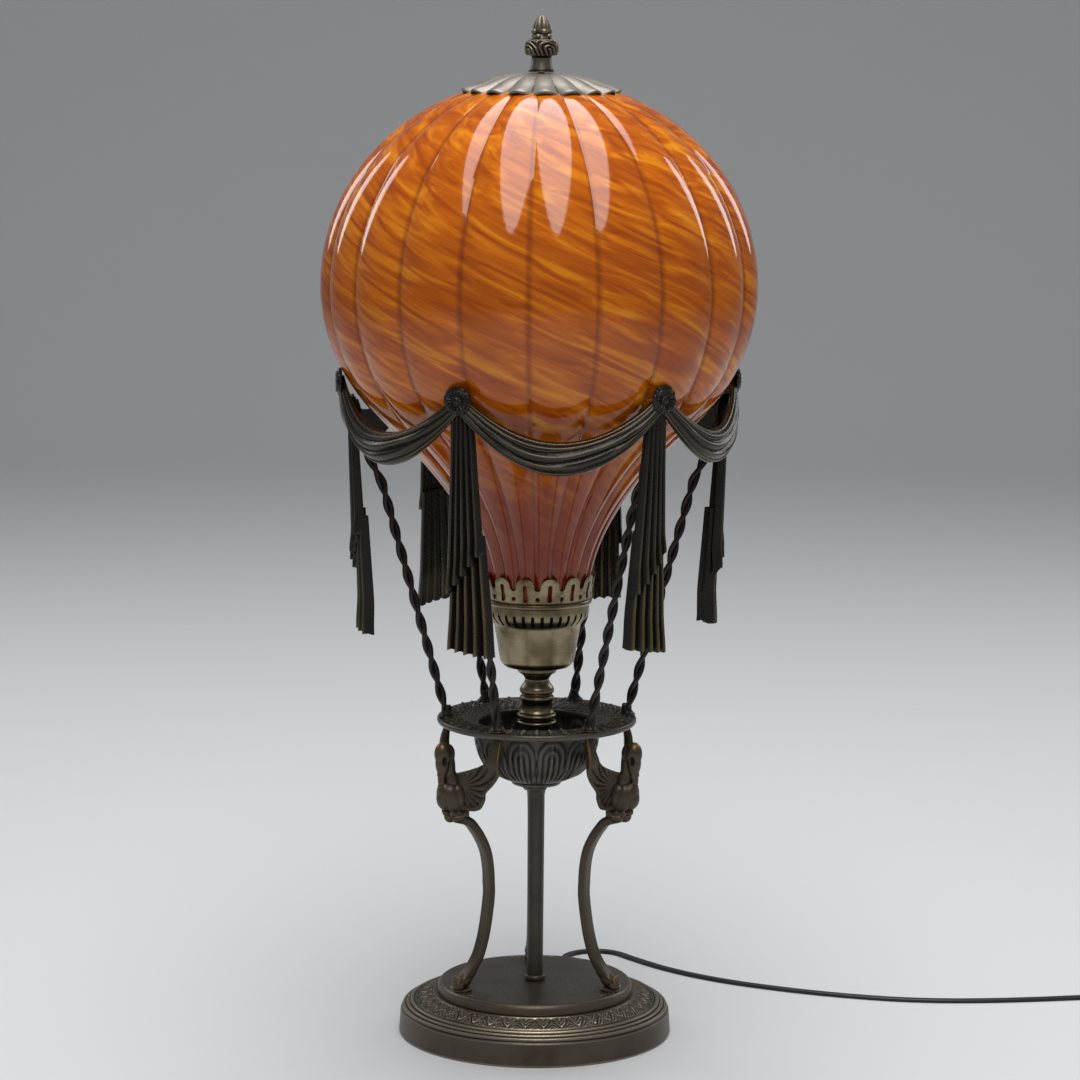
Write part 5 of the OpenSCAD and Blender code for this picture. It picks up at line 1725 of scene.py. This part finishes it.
@dataclass
class Stem:
    """Turned brass baluster between the bowl's floor and the cup."""

    r: float = 14.0
    low: float = 184.5
    top: float = 267.2

    def build(self) -> None:
        """Turn the baluster."""
        r, low, top = self.r, self.low, self.top
        upper = [(r - 3.6, top - 21.2), (r - 3.2, top - 20.4), (r - 1.8, top - 19.2)]
        upper += [(r - 1.6, top - 17.8), (r - 2.3, top - 15.8), (r - 4.2, top - 13.2)]
        upper += [(r - 5.4, top - 11), (r - 5.4, top - 9.4), (r - 3.4, top - 6.4)]
        upper += [(r - 0.4, top - 4.6), (r, top - 3.8), (r, top), (ROD_HOLE_R, top)]
        lower = [(ROD_HOLE_R, low), (r - 3, low), (r - 4, low + 3), (r - 4, top - 43.4)]
        middle = [(r - 1.8, top - 33.4), (r - 3, top - 31.6), (r - 3.3, top - 25.4)]
        parts = [
            lower,
            bead(r, r - 2, top - 43, top - 39.4),
            [(r - 2.6, top - 39)],
            bead(r, r - 2.2, top - 38.6, top - 34.2),
            rounded(middle, 1),
            bead(r - 1.8, r - 2.8, top - 24.8, top - 21.8),
            rounded(upper, 0.9),
        ]
        outline = np.concatenate([np.array(part, float) for part in parts])
        settle(turned("stem", outline, 128), BRASS, stands_for=["stem_baluster"])


@dataclass
class Cup:
    """Spun brass cup round the holder: a flared side with air slots round it, and a rolled rim."""

    floor_r: float = 23.0
    rim_r: float = 38.6
    hole_r: float = 32.9
    wall: float = 1.4
    low: float = 267.2
    high: float = 50.4
    slots: int = 34
    slot_wide: float = 2.4
    slot_long: float = 8.8

    def side(self, inset: float) -> list[tuple[float, float]]:
        """Draw the cup's side.

        Args:
            inset: How far inside the outer skin it lies.

        Returns:
            Radii and heights, from its floor to under the rim.
        """
        floor, rim, low = self.floor_r - inset, self.rim_r - inset, self.low
        steps = [(floor + 1.8, 0.035), (floor + 3.2, 0.08), (floor + 4.4, 0.2)]
        steps += [(floor + 5.6, 0.357), (floor + 7, 0.5), (floor + 8.2, 0.61)]
        steps += [(rim - 2.6, 0.74), (rim - 2, 0.88)]
        return [(floor, low + inset), *((out, low + self.high * share) for out, share in steps)]

    def cutter(self) -> bpy.types.Object:
        """Round-ended bars that cut the slots.

        Returns:
            The bars as one piece.
        """
        clear_selection()
        bpy.ops.mesh.primitive_cylinder_add(vertices=24, radius=self.slot_wide / 2, depth=14)
        bar = place(bpy.context.object, Matrix.Rotation(math.radians(90), 4, "Y"))
        for point in bar.data.vertices:
            point.co.z += math.copysign((self.slot_long - self.slot_wide) / 2, point.co.z)
        place(bar, Matrix.Translation((self.rim_r - 5, 0, self.low + self.high * 0.72)))
        return join(copies(bar, [360 / self.slots * k for k in range(self.slots)]))

    def build(self) -> None:
        """Turn the cup and cut its slots."""
        low, wall, r, hole = self.low, self.wall, self.rim_r, self.hole_r
        top, rim = low + self.high, low + self.high * 0.895
        outside = [(ROD_HOLE_R, low), *flowing(self.side(0), 6), *bead(r, r - 2, rim, top - 0.8)]
        lip = [(r, top - 0.8), (r - 0.2, top), (hole, top), (hole, top - wall)]
        inside = [(r - 3.4, top - wall), *flowing(self.side(wall), 4)[::-1]]
        inside += [(ROD_HOLE_R, low + wall)]
        outline = np.concatenate([np.array(part, float) for part in (outside, lip, inside)])
        cup, cutter = turned("cup", outline, 272), self.cutter()
        modify(cup, "BOOLEAN", operation="DIFFERENCE", solver="EXACT", object=cutter)
        bpy.data.objects.remove(cutter)
        settle(cup, BRASS, stands_for=["socket_cup"], shading=Shading.CRISP)


@dataclass
class Balloon:
    """Mould-blown glass with twenty ribs round it, cased amber over opal."""

    belly_r: float = 153.6
    belly_z: float = 538.0
    crown_h: float = 142.7
    under_h: float = 138.0
    neck_r: float = 36.9
    low: float = 317.9
    wall: float = 4.5
    crown_r: float = 45.0
    vent_r: float = 41.0
    ribs: int = 20
    groove: float = 3.9
    turn: float = 267.2
    tangent: float = 43.9
    hold: float = 43.84

    def line(self, inset: float, steps: int) -> Points:
        """Draw the outline of the glass: a curve of its neck into the egg shape of its belly.

        Args:
            inset: How far inside the outer skin it lies.
            steps: Points of the neck; the belly has three times as many.

        Returns:
            Radii and heights, from the neck to the crown.
        """
        a = math.radians(self.tangent)
        start = np.array([self.belly_r * math.cos(a), self.belly_z - self.under_h * math.sin(a)])
        slope = np.array([self.belly_r * math.sin(a), self.under_h * math.cos(a)])
        hold = start - slope * self.hold / np.linalg.norm(slope)
        knots = [(self.neck_r, self.low), (self.neck_r + 0.4, self.low + 50), hold, start]
        t = np.linspace(0, 1, steps, endpoint=False)[:, None]
        weights = [(1 - t) ** 3, 3 * t * (1 - t) ** 2, 3 * t**2 * (1 - t), t**3]
        neck = sum(w * (np.array(k) - [inset, 0]) for w, k in zip(weights, knots))
        end = math.acos(self.crown_r / self.belly_r)
        turn = np.linspace(-a, end, 3 * steps)
        high = np.where(turn < 0, self.under_h, self.crown_h - inset)
        wide = self.belly_r - inset
        belly = np.stack([wide * np.cos(turn), self.belly_z + high * np.sin(turn)], -1)
        return np.concatenate([neck, belly])

    def build(self) -> None:
        """Blow the glass: a ribbed outside and a plain inside."""
        outer, inner = self.line(0, 40), self.line(self.wall, 20)
        angle = self.turn + np.linspace(0, 360, self.ribs * 16 + 1)[None, :]
        across = 2 * ((angle - self.turn) * self.ribs / 360 % 1) - 1
        dip = across**2
        radius = outer[:, :1] - self.groove * (outer[:, :1] / self.belly_r) ** 0.5 * dip
        skin = polar(radius, angle, outer[:, 1:] + 0 * angle)
        rim = np.array([(self.vent_r + 1.0, outer[-1, 1] - 0.4), (self.vent_r, inner[-1, 1] + 1.0)])
        mouth_r = self.neck_r - self.wall
        foot = np.array([(mouth_r, self.low + 0.8), (mouth_r + 0.8, self.low)])
        lining = np.concatenate([rim, inner[::-1], foot])
        lining = polar(lining[:, :1] + 0 * angle, angle, lining[:, 1:] + 0 * angle)
        glass = surface("glass", np.concatenate([skin, lining, skin[:1]]))
        rows = len(skin) + len(lining) + 1
        amber = np.zeros((rows, angle.shape[1]), np.float32)
        amber[: len(skin)] = 1
        amber[-1] = 1
        # Depth of the groove at each point, which the glass's finish darkens as painted shade
        groove = np.zeros_like(amber)
        groove[: len(skin)] = dip
        store(glass, "skin", amber)
        store(glass, "groove", groove)
        weld(glass)
        settle(glass, GLASS, Body.SHADE, ["balloon_shade"], Shading.CRISP)


@dataclass
class Crown:
    """Scalloped cap of eighteen gores over the glass, and the cast finial that holds it."""

    r: float = 55.8
    low: float = 671.25
    high: float = 13.1
    thick: float = 1.5
    gores: int = 18
    turn: float = 263.0
    flat_r: float = 14.7
    finial_h: float = 40.5
    finial_r: float = 10.2
    knop_r: float = 11.5

    def cap(self) -> bpy.types.Object:
        """The cap: gores that bulge between sharp valleys, each with an upturned lip.

        Returns:
            The cap.
        """
        angle = self.turn + np.linspace(0, 360, self.gores * 20 + 1)[None, :]
        across = np.abs(2 * ((angle - self.turn) * self.gores / 360 % 1) - 1)
        share = np.concatenate([[0.0], np.linspace(0.03, 1, 60)])[:, None]
        rim = self.r - 4.2 * across**2.4
        flat = self.flat_r / self.r
        out = np.clip((share - flat) / (1 - flat), 0, 1)
        radius = share * (self.r + (rim - self.r) * out)
        base = self.low + self.thick + (self.high - self.thick) * (1 - out**1.8)
        upturn = 1.5 * (1 - across**2) * smooth_step(out, 0.72, 1.0)
        height = base - 1.5 * out**1.3 * across**1.6 + upturn
        top = polar(radius, angle, height)
        under = polar(radius, angle, height - self.thick)
        piece = surface("cap", np.concatenate([top, under[::-1]]))
        weld(piece)
        return piece

    def finial(self) -> bpy.types.Object:
        """The finial: ring, neck, a knop wrapped in leaves, curled beads and a fluted bud.

        Returns:
            The finial.
        """
        low, high = self.low + self.high + 0.1, self.finial_h
        r, knop = self.finial_r, self.knop_r

        def level(share: float) -> float:
            """Height at a share of the finial's own."""
            return low + high * share

        def relief(angle: Points, radius: Points, height: Points) -> Points:
            """Leaves wrapped round the knop, and flutes on the bud.

            Args:
                angle: Degrees round the axis.
                radius: Not used.
                height: Heights.

            Returns:
                How far each point stands out.
            """
            share = (height - low) / high
            turn = np.radians(angle)
            wrap = np.clip((share - 0.28) / 0.3, 0, 1)
            across = 2 * np.abs((angle * 4 / 360 + 0.3 * wrap) % 1 - 0.5)
            arch = np.hypot(across, np.maximum(0, wrap - 0.45) / 0.5)
            leaves = (0.5 + 0.5 * np.cos(2 * math.pi * 2.4 * arch)) * smooth_step(wrap, 0.02, 0.15)
            leaves = (leaves - 0.6) * (1 - smooth_step(wrap, 0.93, 1))
            bud = (np.abs(np.cos(turn * 3)) ** 0.7 - 0.7) * smooth_step(share, 0.72, 0.78)
            bud = bud * (1 - smooth_step(share, 0.95, 1))
            return 1.7 * leaves + 1.1 * bud

        neck = [(r - 1.4, 0.08), (r - 1.3, 0.13), (r - 2, 0.16), (r - 2.2, 0.27)]
        bud = [(4.4, 0.69), (6.0, 0.74), (5.6, 0.84), (3.2, 0.93), (0, 1)]
        bud = [(out, level(share)) for out, share in bud]
        profile = [
            [(2.5, level(0))],
            bead(r, r - 0.8, level(0), level(0.07)),
            [(out, level(share)) for out, share in neck],
            dense(bead(knop - 0.3, r - 2.6, level(0.28), level(0.58), 25), 0.35),
            [(r - 3.8, level(0.6)), (r - 4.6, level(0.66))],
            dense(rounded(bud, 4, 8), 0.35),
        ]
        outline = np.concatenate([np.array(part, float) for part in profile])
        pieces = [turned("finial_fine", outline, 240, relief)]
        for k in range(4):
            for share, reach, size, offset in ((0.715, 5.3, 2.3, 20), (0.635, 5.6, 1.9, 65)):
                ball = lump((reach, 0, level(share)), (size, size * 1.1, size * 0.9), 25)
                pieces.append(place(ball, about_axis(90 * k + offset)))
        return join(pieces)

    def build(self) -> None:
        """Make both castings."""
        # The cap's lighter skin is partly painted light from above
        settle(self.cap(), CAP_PEWTER_AND_TOP_LIGHT, Body.CAP, ["shade_cap"], Shading.SOFT, wear=1)
        settle(self.finial(), FINIAL, Body.KNOB, ["finial"], Shading.SOFT, wear=1)


# --- Lead --------------------------------------------------------------------------------------


@dataclass
class Lead:
    """Flat twin lead on the table with its coil, switch and plug, on the route of the solids."""

    width: float = 5.6
    thick: float = 2.9
    exit_turn: float = 80.0
    exit_reach: float = 119.5
    exit_z: float = 9.0
    coil_at: tuple[float, float] = (462.0, 52.0)
    coil_r: float = 40.5
    coil_z: float = 2.5
    coil_turns: float = 5.25
    coil_steps: int = 24
    before: Sequence[Place] = (
        (22.2, 127, 8.6),
        (22.8, 136.5, 7.2),
        (23, 146.5, 4.9),
        (22.9, 157, 2.7),
        (22.6, 167.5, 1.6),
        (22.5, 177.5, 1.5),
    )
    loop: Place = (47.0, 186.0, 24.5)
    after: Sequence[Place] = (
        (71.7, 193.8, 1.5),
        (79, 184.5, 1.5),
        (88, 173.5, 1.5),
        (101, 159.5, 1.5),
        (119, 143.6, 1.5),
        (142, 127.6, 1.5),
        (170, 112.5, 1.5),
        (202, 98.8, 1.5),
        (236, 87.5, 1.5),
        (270, 79.8, 1.5),
        (304, 77, 1.5),
        (340, 78.6, 1.5),
        (375, 83, 1.5),
        (405, 88, 1.6),
        (430, 91.4, 2),
    )
    to_switch: Sequence[Place] = ((502.6, 36, 4.7), (503, 28, 4.6), (503, 20, 4.6))
    to_plug: Sequence[Place] = (
        (503, -40, 4.6),
        (503, -50, 4.6),
        (502, -62, 3),
        (498, -76, 1.8),
        (490, -89, 2),
        (478, -98.5, 3.6),
        (465, -103, 5.6),
        (452, -104, 7),
    )
    on_it: dict[str, tuple[float, Finish, Body]] = field(
        default_factory=lambda: {
            "coil_tie": (0.3, BLACK_PLASTIC, Body.LAMP),
            "switch_body": (0.7, BLACK_PLASTIC, Body.LAMP),
            "switch_rocker": (0.4, BLACK_PLASTIC, Body.ROCKER),
            "plug_body": (0.6, BLACK_PLASTIC, Body.LAMP),
            "plug_pins": (0.3, NICKEL, Body.LAMP),
        }
    )

    def coil(self) -> Points:
        """Points of the coil: in on the table, up where the spiral turns back, and out on top.

        Returns:
            Points of the line.
        """
        turn = np.arange(int(self.coil_turns * self.coil_steps) + 1) / self.coil_steps
        half = self.coil_turns / 2
        inward = np.where(turn < half, turn, self.coil_turns - turn)
        radius = self.coil_r - (self.width + 0.7) * inward
        rise = (self.thick + 0.5) * np.clip((turn - half + 0.25) * 2, 0, 1)
        return polar(radius, 90 - 360 * turn, self.coil_z + rise) + np.array([*self.coil_at, 0])

    def way(self) -> Points:
        """The lead's middle line, from the sleeve's end to the plug.

        Returns:
            Points of the line.
        """
        start = polar(self.exit_reach, self.exit_turn, self.exit_z)
        coil = self.coil()
        coil_start = [self.coil_at[0] - self.width, self.coil_at[1] + self.coil_r, self.coil_z]
        coil_end = coil[-1] - [0, self.width, 0]
        loop_x, loop_y, loop_r = self.loop
        loop = polar(loop_r, np.arange(180, 39, -20.0), 1.5) + np.array([loop_x, loop_y, 0])
        stretches = [
            flowing([start, *self.before, *loop, *self.after, coil_start], 6)[:-1],
            flowing([coil_start, *coil, coil_end], 3)[:-1],
            flowing([coil_end, *self.to_switch], 4),
            flowing(self.to_plug, 4),
        ]
        return np.concatenate(stretches)

    def section(self, count: int) -> Points:
        """Outline of the flat lead: two round cores side by side with a shallow groove between.

        Args:
            count: Points of the lead's middle line.

        Returns:
            The same outline for each of them.
        """
        turn = np.radians(np.arange(28) * 360 / 28)
        x, y = np.cos(turn), np.sin(turn)
        half = self.thick / 2
        wide = (self.width / 2 - half) * np.tanh(3.2 * x) + half * x
        high = half * y * (1 - 0.2 * np.exp(-((x / 0.3) ** 2)))
        return np.repeat(np.stack([wide, high], -1)[None], count, 0)

    def build(self) -> None:
        """Make the lead, and dress what is on it."""
        way = self.way()
        lead = swept("flat_lead", way, self.section(len(way)), (0, 0, 1))
        nodes = ["cord_run", "cord_coil", "cord_tail"]
        settle(lead, LEAD_PVC, stands_for=nodes, shading=Shading.ROUND)
        on_it = [
            settle(refined(name, rounding), finish, body, [name], Shading.CRISP)
            for name, (rounding, finish, body) in self.on_it.items()
        ]


# --- Nodes that keep their own shape -----------------------------------------------------------


@dataclass
class Fittings:
    """Nodes of the frame whose own shape is right, and what each is made of."""

    finishes: dict[str, Finish] = field(
        default_factory=lambda: {
            "base_felt": FELT,
            "base_washer": HARDWARE,
            "base_nut": HARDWARE,
            "leg_screws": HARDWARE,
            "cord_bushing": BLACK_PLASTIC,
            "supply_lead": LEAD_PVC,
            "threaded_rod": HARDWARE,
            "bowl_washer": COLUMN,
            "lamp_socket": PHENOLIC,
            "socket_contact": CONTACT,
            "bulb_base": BULB_METAL,
            "bulb_glass": BULB_OPAL,
            "cap_spring": CONTACT,
            "finial_stud": CONTACT,
            "shade_gallery": BRASS,
        }
    )
    edges: dict[str, tuple[float, Body]] = field(
        default_factory=lambda: {
            "shade_gallery": (0.2, Body.LAMP),
            "lamp_socket": (0.4, Body.LAMP),
            "socket_contact": (0.15, Body.LAMP),
            "cord_bushing": (0.4, Body.LAMP),
            "bulb_base": (0.15, Body.BULB),
        }
    )

    def build(self) -> None:
        """Round the edges of the nodes that are seen closely, and dress every node still shown."""
        for name, (rounding, body) in self.edges.items():
            settle(refined(name, rounding), self.finishes[name], body, [name], Shading.CRISP)
        for name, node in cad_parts.items():
            if node.hide_render:
                continue
            finish = self.finishes[name]
            node.data.materials.clear()
            node.data.materials.append(finish.material())
            LOG.info("%s: the frame's own shape, %s", name, finish.slot)


def main() -> None:
    """Build the studio and the lamp's looks, piece by piece."""
    logging.basicConfig(level=logging.INFO, format="%(name)s: %(message)s")
    base = (Foot, Column, Legs, Swans, Gondola)
    upper = (Ropes, Drapery, Stem, Cup, Balloon, Crown)
    for kind in (Studio, *base, *upper, Lead, Fittings):
        kind().build()


if __name__ == "__main__":
    main()
